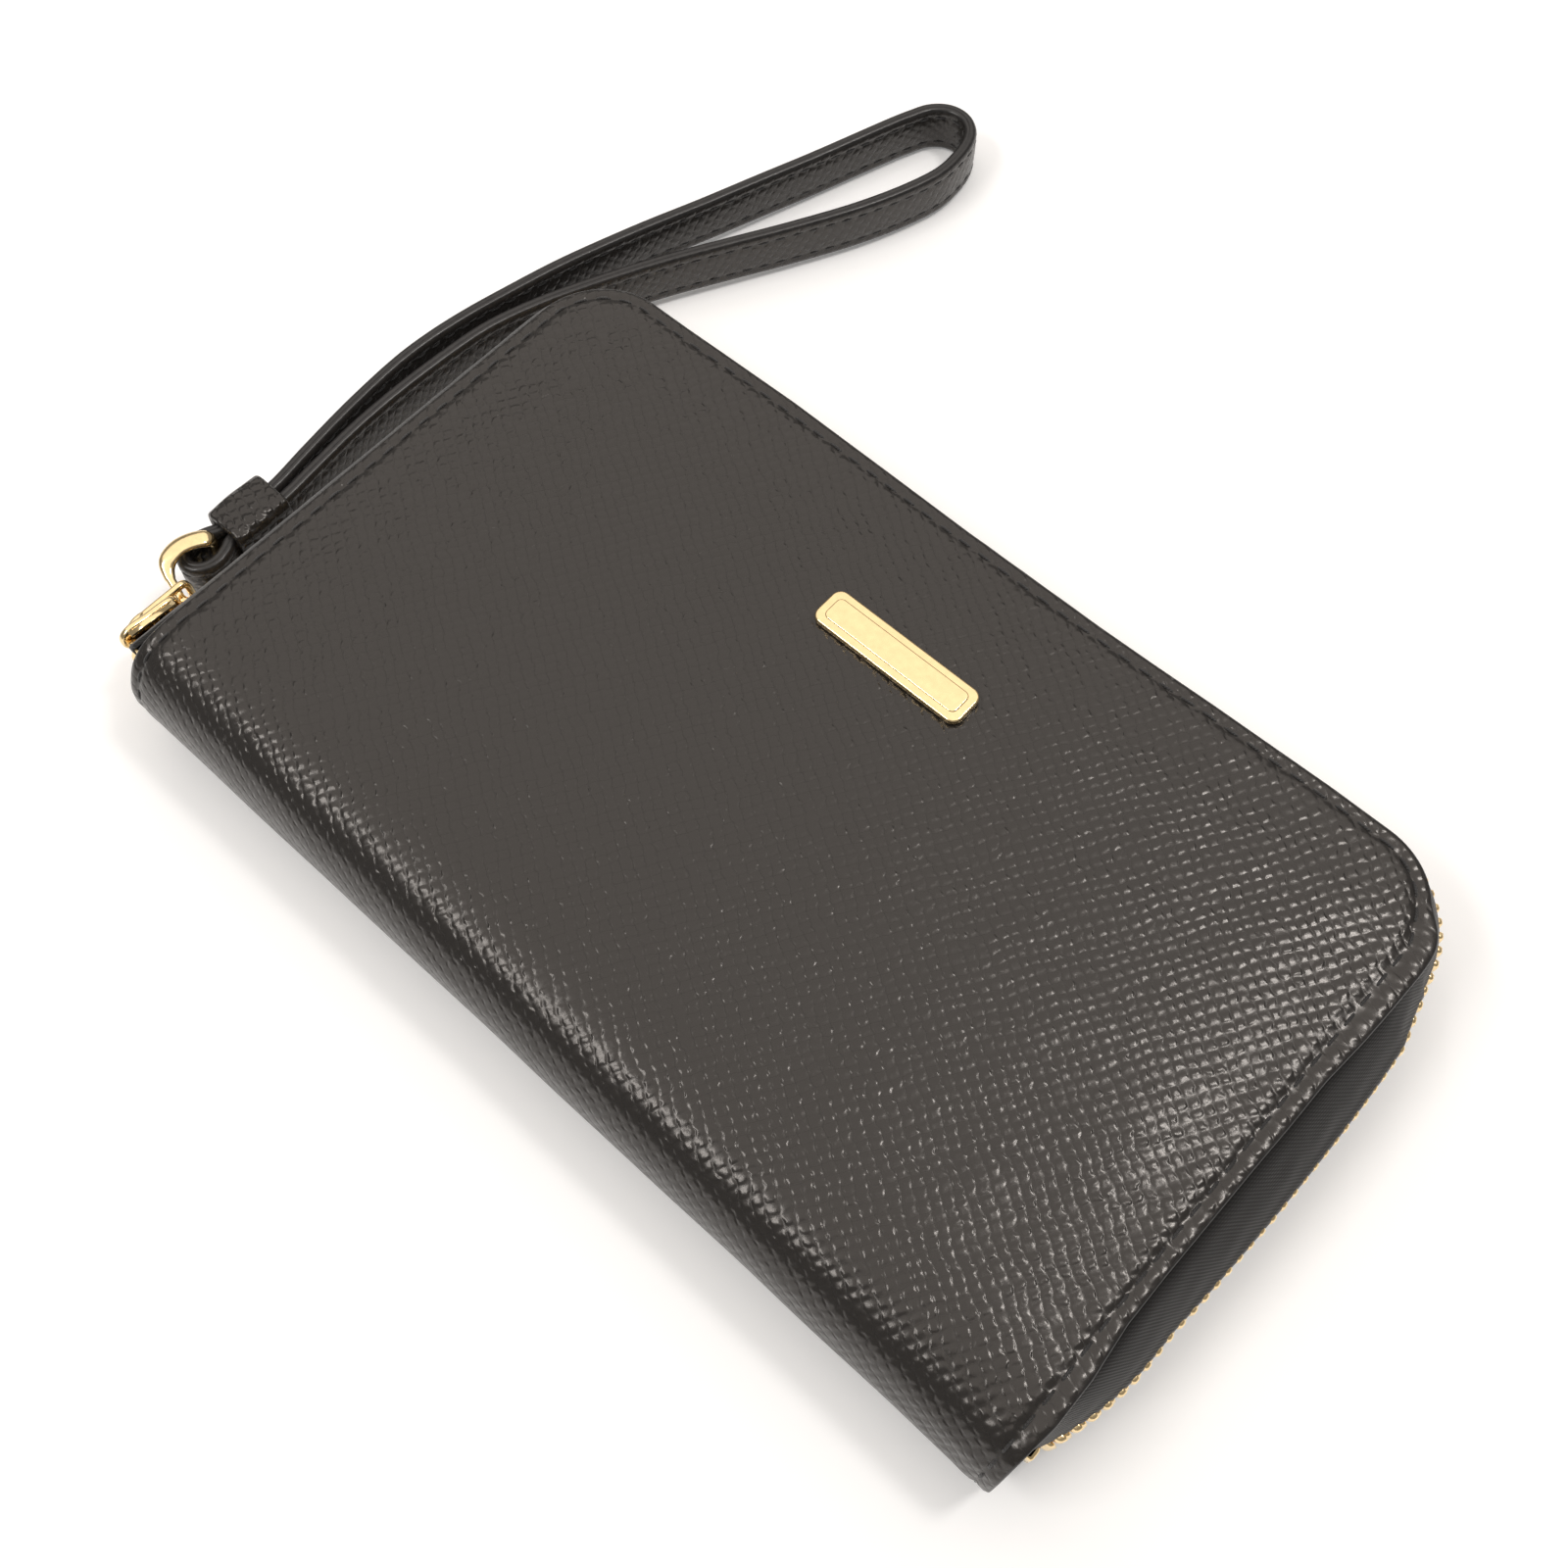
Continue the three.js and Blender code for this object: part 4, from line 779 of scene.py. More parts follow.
def tape_obj(up):
    line = np.array([[-4.4, 1.95], [-2.0, 1.95], [-0.8, 1.98], [0.3, 2.15], [1.2, 2.7], [2.1, 3.6], [3.0, 4.7], [3.9, 5.9], [4.6, 7.1], [5.0, 8.1], [5.0, 9.0]])
    line = catmull(line, 26, False)
    t = 0.3
    d = np.gradient(line, axis=0)
    d /= np.linalg.norm(d, axis=1)[:, None]
    nn = np.stack([d[:, 1], -d[:, 0]], 1)
    half = np.full(len(line), t)
    # cord along the toothed edge
    k = np.arange(len(line))
    half = half + 0.42 * np.exp(-((k - (len(line) - 2)) / 1.3) ** 2)
    ring = np.vstack([line + nn * half[:, None], (line - nn * half[:, None])[::-1]])
    ns = 330
    s = np.linspace(3.2, S5, ns)
    nseg = len(ring)
    Nn = np.repeat(ring[:, 0][None], ns, 0)
    D = np.repeat(ring[:, 1][None], ns, 0)
    # beside the rolled spine the sewn margin stands outside the leather's end
    r = np.where(s <= S1, LEG_A0 + s - Y0, np.where(s >= S4, LEG - (s - S4) - Y0, 60))
    k = (1 - sstep(10.5, 14.0, r))[:, None]
    lim = np.where(s > S4, 0.36 / np.maximum(outward(s), 0.08), 0.6)[:, None]
    Nc = np.maximum(Nn, lim + (Nn - Nn.min()) * 0.02)
    Nn = Nn * (1 - k) + Nc * k
    # and tucks in where the roll leaves less height
    D = np.maximum(D, k * 3.0) if True else D
    ripple = 0.05 * waves(s[:, None] + 0 * D, D * 3, 51 + up, 9) * sstep(2.2, 4, D) * (1 - sstep(7, 8.5, D))
    z = (THICK - D) if up else D
    P = on_path(s[:, None], Nn + ripple, z)
    f = grid_faces(ns, nseg, False, True)
    f.append(tuple(range(nseg)))
    f.append(tuple((ns - 1) * nseg + j for j in reversed(range(nseg))))
    v = P.reshape(-1, 3)
    per = np.concatenate([[0], np.cumsum(np.linalg.norm(np.diff(ring, axis=0), axis=1))])
    uv = np.stack(np.broadcast_arrays(s[:, None], per[None]), -1).reshape(-1, 2)
    name = "front" if up else "back"
    o = obj_from(name + "_tape_cloth", v, outward_faces(v, f), TAPE, uv)
    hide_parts(name + "_zip_tape")
    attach(o, name)
    return o


def teeth_obj(up):
    """one separate tooth per pitch: two legs clamped on the cord, a cranked head"""
    b = Build()
    o_ = 1 if up else -1
    s0, s1 = Y(9) - LEG_A0, S5 - 1.8
    # along z from the legs' ends to the tip: z, half width along s, half thickness along n
    st_ = np.array([[3.0, 0.36, 0.6], [2.86, 0.6, 0.95], [2.4, 0.72, 1.12], [1.6, 0.74, 1.16], [0.95, 0.7, 1.14], [0.5, 0.58, 1.08], [0.0, 0.47, 1.0], [-0.5, 0.46, 0.92], [-0.85, 0.36, 0.78], [-0.98, 0.2, 0.5]])
    ang = np.linspace(0, 2 * PI, 11)[:-1] + 0.1
    ca, sa = np.cos(ang), np.sin(ang)
    e = 0.62
    sx, sn = np.sign(ca) * np.abs(ca) ** e, np.sign(sa) * np.abs(sa) ** e
    c = s0 + 0.6 + (PITCH / 2 if up else 0)
    i = 0
    while c + 0.4 < s1 - 0.1:
        jit = 0.03 * math.sin(i * 12.9898)
        S = c + jit + st_[:, 1][:, None] * sx[None]
        Nn = CHAIN_OUT + st_[:, 2][:, None] * sn[None] + 0.03 * math.sin(i * 7.23)
        Z = ZM + o_ * np.repeat(st_[:, 0][:, None], len(ang), 1)
        # near the far end the chain tucks in: keep the tooth's true thickness
        ow = float(outward(c) * tuck(c))
        Nn = CHAIN_OUT + (Nn - CHAIN_OUT) * (1.0 - 0.1 * float(1 - sstep(S1 - 3, S1, c))) / max(ow, 0.05)
        P = on_path(S, Nn, Z)
        # keep out of the leather's end
        if ow < 0.45:
            P[..., 0] = np.maximum(P[..., 0], XS + 0.1)
        k, mm_ = S.shape
        f = grid_faces(k, mm_, False, True)
        f.append(tuple(range(mm_)))
        f.append(tuple((k - 1) * mm_ + j for j in reversed(range(mm_))))
        v = P.reshape(-1, 3)
        b.add(v, outward_faces(v, f))
        c += PITCH
        i += 1
    name = "front" if up else "back"
    o = b.obj(name + "_teeth_row", GOLD_T)
    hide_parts(name + "_zip_teeth")
    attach(o, name)


for up_ in (True, False):
    tape_obj(up_)
    teeth_obj(up_)


# ------------------------------------------------------------------ small metal
def rbox(b, x0, x1, y0, y1, z0, z1, r=0.3, mi=0):
    """box with rounded edges, as stacked rounded rectangles"""
    lv = [(0, 1.0), (0.13, 0.5), (0.5, 0.13), (1.0, 0.0)]
    zs = [(z0 + r * a, bb * r) for a, bb in lv] + [(z1 - r * a, bb * r) for a, bb in reversed(lv)]
    n, k = None, []
    for z, ins in zs:
        sec = rr_section(x1 - x0 - 2 * ins, y1 - y0 - 2 * ins, max(0.05, r * 0.9), 3)
        k.append(np.column_stack([sec[:, 0] + (x0 + x1) / 2, sec[:, 1] + (y0 + y1) / 2, np.full(len(sec), z)]))
    v = np.vstack(k)
    mm_ = len(k[0])
    f = grid_faces(len(zs), mm_, False, True)
    f.append(tuple(range(mm_)))
    f.append(tuple((len(zs) - 1) * mm_ + j for j in reversed(range(mm_))))
    b.add(v, outward_faces(v, f), None, mi)


def slab(b, outline, w0, w1, bev, place, dome=0.0, mi=0):
    """bevelled plate from a 2-D outline; place maps (a, b, w) to x, y, z"""
    o = np.asarray(outline, float)
    t = np.roll(o, -1, 0) - np.roll(o, 1, 0)
    t /= np.linalg.norm(t, axis=1)[:, None]
    nn = np.stack([t[:, 1], -t[:, 0]], 1)
    cen = o.mean(0)
    if ((o - cen) * nn).sum() < 0:
        nn = -nn
    lv = [(0.0, 1.0), (0.13, 0.5), (0.5, 0.13), (1.0, 0.0)]
    st_ = [(w0 + bev * a, q * bev) for a, q in lv] + [(w1 - bev * a, q * bev) for a, q in reversed(lv)]
    rings = [np.column_stack([o - nn * ins, np.full(len(o), w)]) for w, ins in st_]
    # domed top: shrink towards the centre
    tops = []
    if dome:
        for kk in (0.8, 0.55, 0.28):
            base = rings[-1][:, :2]
            tops.append(np.column_stack([cen + (base - cen) * kk, np.full(len(o), w1 + dome * (1 - kk ** 2))]))
    rings += tops
    V_ = np.vstack(rings)
    mm_ = len(o)
    f = grid_faces(len(rings), mm_, False, True)
    f.append(tuple(range(mm_)))
    f.append(tuple((len(rings) - 1) * mm_ + j for j in reversed(range(mm_))))
    P = place(V_)
    b.add(P, outward_faces(P, f), None, mi)


def smooth_outline(pts, n=48):
    return catmull(np.asarray(pts, float), n, True)


b = Build()
rbox(b, -88.7, -86.3, Y(5.0), Y(6.6), ZM + 1.4, ZM + 3.4, 0.45)
o = b.obj("top_stop_front", GOLD)
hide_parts("front_top_stop"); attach(o, "front")
b = Build()
rbox(b, -88.7, -86.3, Y(5.0), Y(6.6), ZM - 3.4, ZM - 1.4, 0.45)
o = b.obj("top_stop_back", GOLD)
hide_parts("back_top_stop"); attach(o, "back")
b = Build()
rbox(b, 82.7, 84.0, Y(6.1), Y(8.1), ZM - 2.3, ZM + 2.3, 0.45)
o = b.obj("end_stop", GOLD)
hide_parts("bottom_stop"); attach(o, "back")

# zip slider
CX = -(XS + CHAIN_OUT)
SL0, SL1 = 4.5, 15.0
CH_IN, CH_OUT = CX + 1.2 + 0.3, CX - 1.2 - 0.3
BX = CH_OUT - 1.1
shield = smooth_outline([[Y(SL0), ZM - 2.2], [Y(SL0 + 0.4), ZM - 4.1], [Y(SL0 + 2.0), ZM - 4.85], [Y(SL0 + 5.5), ZM - 4.5], [Y(SL1 - 0.8), ZM - 4.05], [Y(SL1), ZM - 3.4],
                         [Y(SL1), ZM + 3.4], [Y(SL1 - 0.8), ZM + 4.05], [Y(SL0 + 5.5), ZM + 4.5], [Y(SL0 + 2.0), ZM + 4.85], [Y(SL0 + 0.4), ZM + 4.1], [Y(SL0), ZM + 2.2], [Y(SL0 + 0.9), ZM]], 72)
b = Build()
on_x = lambda V_: np.column_stack([V_[:, 2], V_[:, 0], V_[:, 1]])
slab(b, shield, CH_IN, CH_IN + 1.1, 0.35, on_x)
slab(b, shield, 0, 1.1, 0.35, lambda V_: np.column_stack([CH_OUT - V_[:, 2], V_[:, 0], V_[:, 1]]), 0.0)
slab(b, smooth_outline([[Y(SL0 + 0.9), ZM - 0.8], [Y(SL0 + 2.6), ZM - 1.0], [Y(SL0 + 3.6), ZM], [Y(SL0 + 2.6), ZM + 1.0], [Y(SL0 + 0.9), ZM + 0.8]], 24), CH_OUT - 0.3, CH_IN + 0.3, 0.1, on_x)
for o_ in (1, -1):
    for x0_, x1_ in ((CH_OUT - 0.15, CX - 0.62),):
        q = np.array([[Y(SL0 + 1.6), ZM + o_ * 4.75], [Y(SL0 + 5.2), ZM + o_ * 4.45], [Y(SL1 - 0.7), ZM + o_ * 4.0], [Y(SL1 - 0.7), ZM + o_ * 3.62], [Y(SL0 + 5.2), ZM + o_ * 3.95], [Y(SL0 + 1.6), ZM + o_ * 4.15]])
        slab(b, q, x0_, x1_, 0.1, on_x)
o = b.obj("slider_shell", GOLD)
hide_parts("zip_slider_body"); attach(o, "slider")

# bridge
th = np.linspace(0, PI, 26)
path = np.column_stack([BX + 0.15 - 3.0 * np.sin(th) ** 0.8, Y(9.4) - 3.0 * np.cos(th), np.full(26, ZM)])
_, na, nb = frames(path, (0, 0, 1.0))
b = Build()
sc = 1 + 0.25 * np.abs(np.cos(th)) ** 3
v, f, uv = tube(path, na, nb, rr_section(2.0, 1.0, 0.42, 3)[None] * np.column_stack([sc, np.ones(26)])[:, None, :])
b.add(v, outward_faces(v, f), uv)
o = b.obj("slider_bridge_arch", GOLD)
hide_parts("zip_slider_bridge"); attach(o, "slider")

# pull link
LX = BX - 1.25
q = catmull([[Y(9.35), -1.3], [Y(9.3), 0], [Y(9.35), 1.3], [Y(9.9), 2.15], [Y(11.5), 2.3], [Y(15.5), 2.3], [Y(17.5), 2.2], [Y(18.0), 1.3], [Y(18.05), 0], [Y(18.0), -1.3], [Y(17.5), -2.2], [Y(15.5), -2.3], [Y(11.5), -2.3], [Y(9.9), -2.15]], 72)
path = np.column_stack([np.full(len(q), LX), q[:, 0], ZM + q[:, 1]])
_, na, nb = frames(path, (1.0, 0, 0), True)
b = Build()
v, f, uv = tube(path, na, nb, rr_section(1.15, 1.15, 0.38, 3), True)
b.add(v, outward_faces(v, f), uv)
o = b.obj("link_ring", GOLD)
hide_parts("pull_link"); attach(o, "pull")

# strap ring: a flat band bent into a twisted teardrop
RINGX, RINGY = -95.4, 25.8
EYE = [LX, Y(16.15), ZM - 0.1]
ring_pts = [EYE, [LX + 0.8, Y(16.25), ZM - 0.3], [LX + 1.75, Y(17.2), ZM - 1.2], [-89.9, Y(18.3), 6.8], [-90.8, Y(18.4), 3.2], [-92.5, Y(19.4), 1.25], [-94.6, Y(23.0), 1.1],
            [RINGX, Y(RINGY), 1.7], [RINGX, Y(RINGY), 5.0], [RINGX, Y(RINGY), 9.0], [RINGX, Y(RINGY), 12.2],
            [-96.4, Y(24.2), 12.85], [-97.3, Y(21.4), 12.95], [-96.9, Y(18.8), 12.5], [-95.3, Y(17.4), 11.7], [LX - 1.75, Y(16.7), 11.1]]
P = catmull(ring_pts, 120)
n = len(P)
# parallel frame along the closed curve
t, _, _ = frames(P, (0.3, 0.2, 1.0), True)
a = np.zeros_like(P)
a[0] = np.cross(t[0], [0, 0, 1.0]); a[0] /= np.linalg.norm(a[0])
for i in range(1, n):
    a[i] = a[i - 1] - np.dot(a[i - 1], t[i]) * t[i]
    a[i] /= np.linalg.norm(a[i])
last = a[-1] - np.dot(a[-1], t[0]) * t[0]
last /= np.linalg.norm(last)
gap_ang = math.atan2(np.dot(np.cross(last, a[0]), t[0]), np.dot(last, a[0]))
for i in range(n):
    g = gap_ang * i / n
    a[i] = math.cos(g) * a[i] + math.sin(g) * np.cross(t[i], a[i])
# on the upper arm the band lies flat and wide
zdir = np.array([0, 0, 1.0])
flat_w = np.exp(-((P[:, 2] - 12.9) / 1.0) ** 2) * (P[:, 0] < -94.6)
for i in range(n):
    want = np.cross(zdir, t[i]);
    if np.linalg.norm(want) > 0.2:
        want /= np.linalg.norm(want)
        if np.dot(want, a[i]) < 0:
            want = -want
        a[i] = a[i] * (1 - flat_w[i]) + want * flat_w[i]
        a[i] -= np.dot(a[i], t[i]) * t[i]
        a[i] /= np.linalg.norm(a[i])
bn = np.cross(t, a)
ell = np.array([(math.cos(x), math.sin(x)) for x in np.linspace(0, 2 * PI, 15)[:-1]])
ell = np.sign(ell) * np.abs(ell) ** 0.8
wa = 0.72 + 0.85 * flat_w
wb = 0.70 - 0.12 * flat_w
sec = ell[None] * np.column_stack([wa, wb])[:, None, :]
b = Build()
v, f, uv = tube(P, a, bn, sec, True)
b.add(v, outward_faces(v, f), uv)
o = b.obj("strap_ring_band", GOLD)
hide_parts("strap_ring"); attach(o, "ring")

# ------------------------------------------------------------------ wrist strap
far = [[-96.85, 28.5], [-96.85, 39], [-98.3, 48], [-99.9, 59], [-100.8, 70], [-100.6, 77.2], [-99.7, 85], [-97.9, 94], [-95.6, 104], [-91.4, 118], [-86.8, 131], [-81.9, 145.9], [-77.0, 161], [-73.9, 170.2]]
tip = [[-72.2, 173.9], [-69.4, 176.1], [-66.2, 176.3], [-63.5, 174.6], [-62.0, 171.9]]
near = [[-61.2, 168], [-61.1, 163.4], [-62.8, 156.5], [-66.4, 147.2], [-72.1, 136], [-78.0, 125.2], [-83.8, 114.5], [-88.8, 103.9], [-92.4, 95.1], [-95.0, 85.6], [-96.0, 76], [-96.3, 66], [-95.9, 56], [-94.9, 47], [-93.95, 39], [-93.95, 28.5]]
fold = [[-93.1, 26.6], [-92.5, 24.4], [-92.8, 22.4], [-94.0, 21.0], [-95.4, 20.5], [-96.8, 21.0], [-98.0, 22.4], [-98.3, 24.4], [-97.7, 26.6]]
STRAP_W, STRAP_T, STRAP_Z, TILT = 9.0, 2.4, 2.35, math.radians(-0.86)
line = catmull([[x, Y(r)] for x, r in far + tip + near + fold], 420)
t2 = np.roll(line, -1, 0) - np.roll(line, 1, 0)
t2 /= np.linalg.norm(t2, axis=1)[:, None]
n2 = np.stack([-t2[:, 1], t2[:, 0]], 1)
if np.dot(n2[len(far)], [-1, 0]) < 0:
    n2 = n2


def tilt(P_):
    P_ = np.array(P_, float)
    y, z = P_[:, 1] - Y(RINGY), P_[:, 2] - STRAP_Z
    P_[:, 1] = Y(RINGY) + y * math.cos(TILT) - z * math.sin(TILT)
    P_[:, 2] = STRAP_Z + y * math.sin(TILT) + z * math.cos(TILT)
    return P_


def strap_section():
    """half section points (n, z, material): two glued plies with painted, rounded edges"""
    h, T = STRAP_W, STRAP_T / 2
    side = [(T - 0.12, 0.55), (T - 0.02, 0.95), (T - 0.05, 1.3), (T - 0.22, 1.75), (T - 0.05, 2.2), (T, 3.0), (T + 0.05, h / 2), (T, h - 3.0), (T - 0.05, h - 2.2), (T - 0.22, h - 1.75), (T - 0.05, h - 1.3), (T - 0.02, h - 0.95), (T - 0.12, h - 0.55)]
    edge_top = [(T - 0.36, h - 0.2), (T - 0.66, h - 0.03), (0.14, h - 0.02), (0.0, h - 0.12), (-0.14, h - 0.02), (-T + 0.66, h - 0.03), (-T + 0.36, h - 0.2)]
    other = [(-x, z) for x, z in reversed(side)]
    edge_bot = [(-x, h - z) for x, z in edge_top]
    pts = side + edge_top + other + edge_bot
    mats = [0] * (len(side) - 1) + [1] * (len(edge_top) + 1) + [0] * (len(other) - 1) + [1] * (len(edge_bot) + 1)
    return np.array(pts), mats


sec, smats = strap_section()
ns = len(line)
P3 = np.column_stack([line, np.full(ns, STRAP_Z)])
arc_s = np.concatenate([[0], np.cumsum(np.linalg.norm(np.diff(line, axis=0), axis=1))])
Nv = np.column_stack([n2, np.zeros(ns)])
wob = 1 + 0 * arc_s
v = P3[:, None, :] + sec[None, :, :1] * Nv[:, None, :] + sec[None, :, 1:] * np.array([0, 0, 1.0])
# slight waviness of the free edges
v[:, :, 2] += (0.10 * waves(arc_s, 0 * arc_s, 61, 38))[:, None] * sstep(60, 90, line[:, 1] - Y0)[:, None]
v[:, :, 2] = np.maximum(v[:, :, 2], STRAP_Z - 0.12)
v = tilt(v.reshape(-1, 3))
v[:, 2] = np.maximum(v[:, 2], 0.02)
ms = len(sec)
f = grid_faces(ns, ms, True, True)
mi = []
for i in range(ns):
    mi += [smats[j] for j in range(ms)]
per = np.concatenate([[0], np.cumsum(np.linalg.norm(np.diff(sec, axis=0), axis=1))])
uv = np.stack(np.broadcast_arrays(arc_s[:, None], per[None]), -1).reshape(-1, 2)
ff = outward_faces(v, f)
o = obj_from("strap_leather_strip", v, ff, None, uv, True, mi, [LEATHER_STRAP, EDGE])
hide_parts("wrist_strap"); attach(o, "strap")

b = Build()
P3 = np.vstack([P3, P3[:1]])
Nv2 = np.vstack([Nv, Nv[:1]])
for sgn in (1, -1):
    for zz in (1.75, STRAP_W - 1.75):
        q = P3 + Nv2 * sgn * (STRAP_T / 2 - 0.17) + np.array([0, 0, zz])
        keepm = None
        stitch_run(b, tilt(q), Nv2 * sgn, 3.1, 2.25, 0.19, 0.06)
o = b.obj("strap_stitching", THREAD)
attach(o, "strap")

# keeper: a leather band folded round both legs; its lapped end is not built
b = Build()
kt = 1.35
hx_, z0_, z1_ = STRAP_T + 0.3 + 0.1, STRAP_Z - 0.35, STRAP_Z + STRAP_W + 0.35
mid_r = [(0.0, -kt + 0.22, 0.16), (0.14, -kt + 0.03, 0.05), (0.42, -kt, 0.0)]
ys = np.concatenate([[0.0, 0.10, 0.28, 0.55], np.linspace(1.0, 9.4, 14), [9.85, 10.12, 10.3, 10.4]])
outs = np.interp(ys, [0, 0.10, 0.28, 0.55, 9.85, 10.12, 10.3, 10.4], [-0.42, -0.2, -0.06, 0, 0, -0.06, -0.2, -0.42])
rings_o, rings_i = [], []
nseg = 60
base_o = rr_section(2 * (hx_ + kt), z1_ - z0_ + 2 * kt, 1.45, 7)
base_i = rr_section(2 * hx_, z1_ - z0_, 0.5, 7)


def resample(sec_, n_):
    c = np.vstack([sec_, sec_[:1]])
    s_ = np.concatenate([[0], np.cumsum(np.linalg.norm(np.diff(c, axis=0), axis=1))])
    q_ = np.linspace(0, s_[-1], n_ + 1)[:-1]
    return np.stack([np.interp(q_, s_, c[:, 0]), np.interp(q_, s_, c[:, 1])], 1)


base_o, base_i = resample(base_o, nseg), resample(base_i, nseg)
for y_, o_ in zip(ys, outs):
    bul = 1 + 0.05 * math.sin(PI * y_ / 10.4)
    so = base_o * np.array([bul + o_ / (hx_ + kt), 1 + 0.012 * math.sin(PI * y_ / 10.4) + o_ / ((z1_ - z0_) / 2 + kt)])
    lap = 0.22 * math.exp(-((y_ - 5.2) / 6.0) ** 8)
    rings_o.append(np.column_stack([so[:, 0] + RINGX, np.full(nseg, Y(28.3) + y_), so[:, 1] + (z0_ + z1_) / 2]))
    rings_i.append(np.column_stack([base_i[:, 0] + RINGX, np.full(nseg, Y(28.3) + np.clip(y_, 0.12, 10.28)), base_i[:, 1] + (z0_ + z1_) / 2]))
allr = rings_o + rings_i[::-1]
v = tilt(np.vstack(allr))
v[:, 0] += 0.05 * waves(v[:, 1], v[:, 2], 71, 5)
f = grid_faces(len(allr), nseg, True, True)
per = np.concatenate([[0], np.cumsum(np.linalg.norm(np.diff(base_o, axis=0), axis=1))])
yy = np.concatenate([ys, ys[::-1]])
uv = np.stack(np.broadcast_arrays(yy[:, None], per[None]), -1).reshape(-1, 2)
b.add(v, outward_faces(v, f), uv)
# section for a lapped end, not added to the mesh
lapq = rr_section(4.2, 1.0, 0.4, 3)
o = b.obj("keeper_band", [LEATHER_KEEP, EDGE])
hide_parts("strap_keeper"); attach(o, "strap")

# ------------------------------------------------------------------ badge: plain bevelled bar
b = Build()
bx, by = 1.9, Y(76.3)
ol = rr_section(27.2, 6.6, 1.7, 8) + np.array([bx, by])
slab(b, ol, THICK + 0.12, THICK + 1.22, 0.34, lambda V_: V_, 0.0)
# raised inner panel with a shallow step, no mark
ol2 = rr_section(24.6, 4.1, 1.0, 8) + np.array([bx, by])
slab(b, ol2, THICK + 0.9, THICK + 1.36, 0.22, lambda V_: V_, 0.0)
for dx in (-9, 9):
    q = np.array([(math.cos(a_), math.sin(a_)) for a_ in np.linspace(0, 2 * PI, 13)[:-1]]) * 0.5 + np.array([bx + dx, by])
    slab(b, q, 19.3, THICK + 0.3, 0.12, lambda V_: V_, 0.0)
o = b.obj("badge_bar", GOLD)
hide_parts("badge_plate"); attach(o, "front")


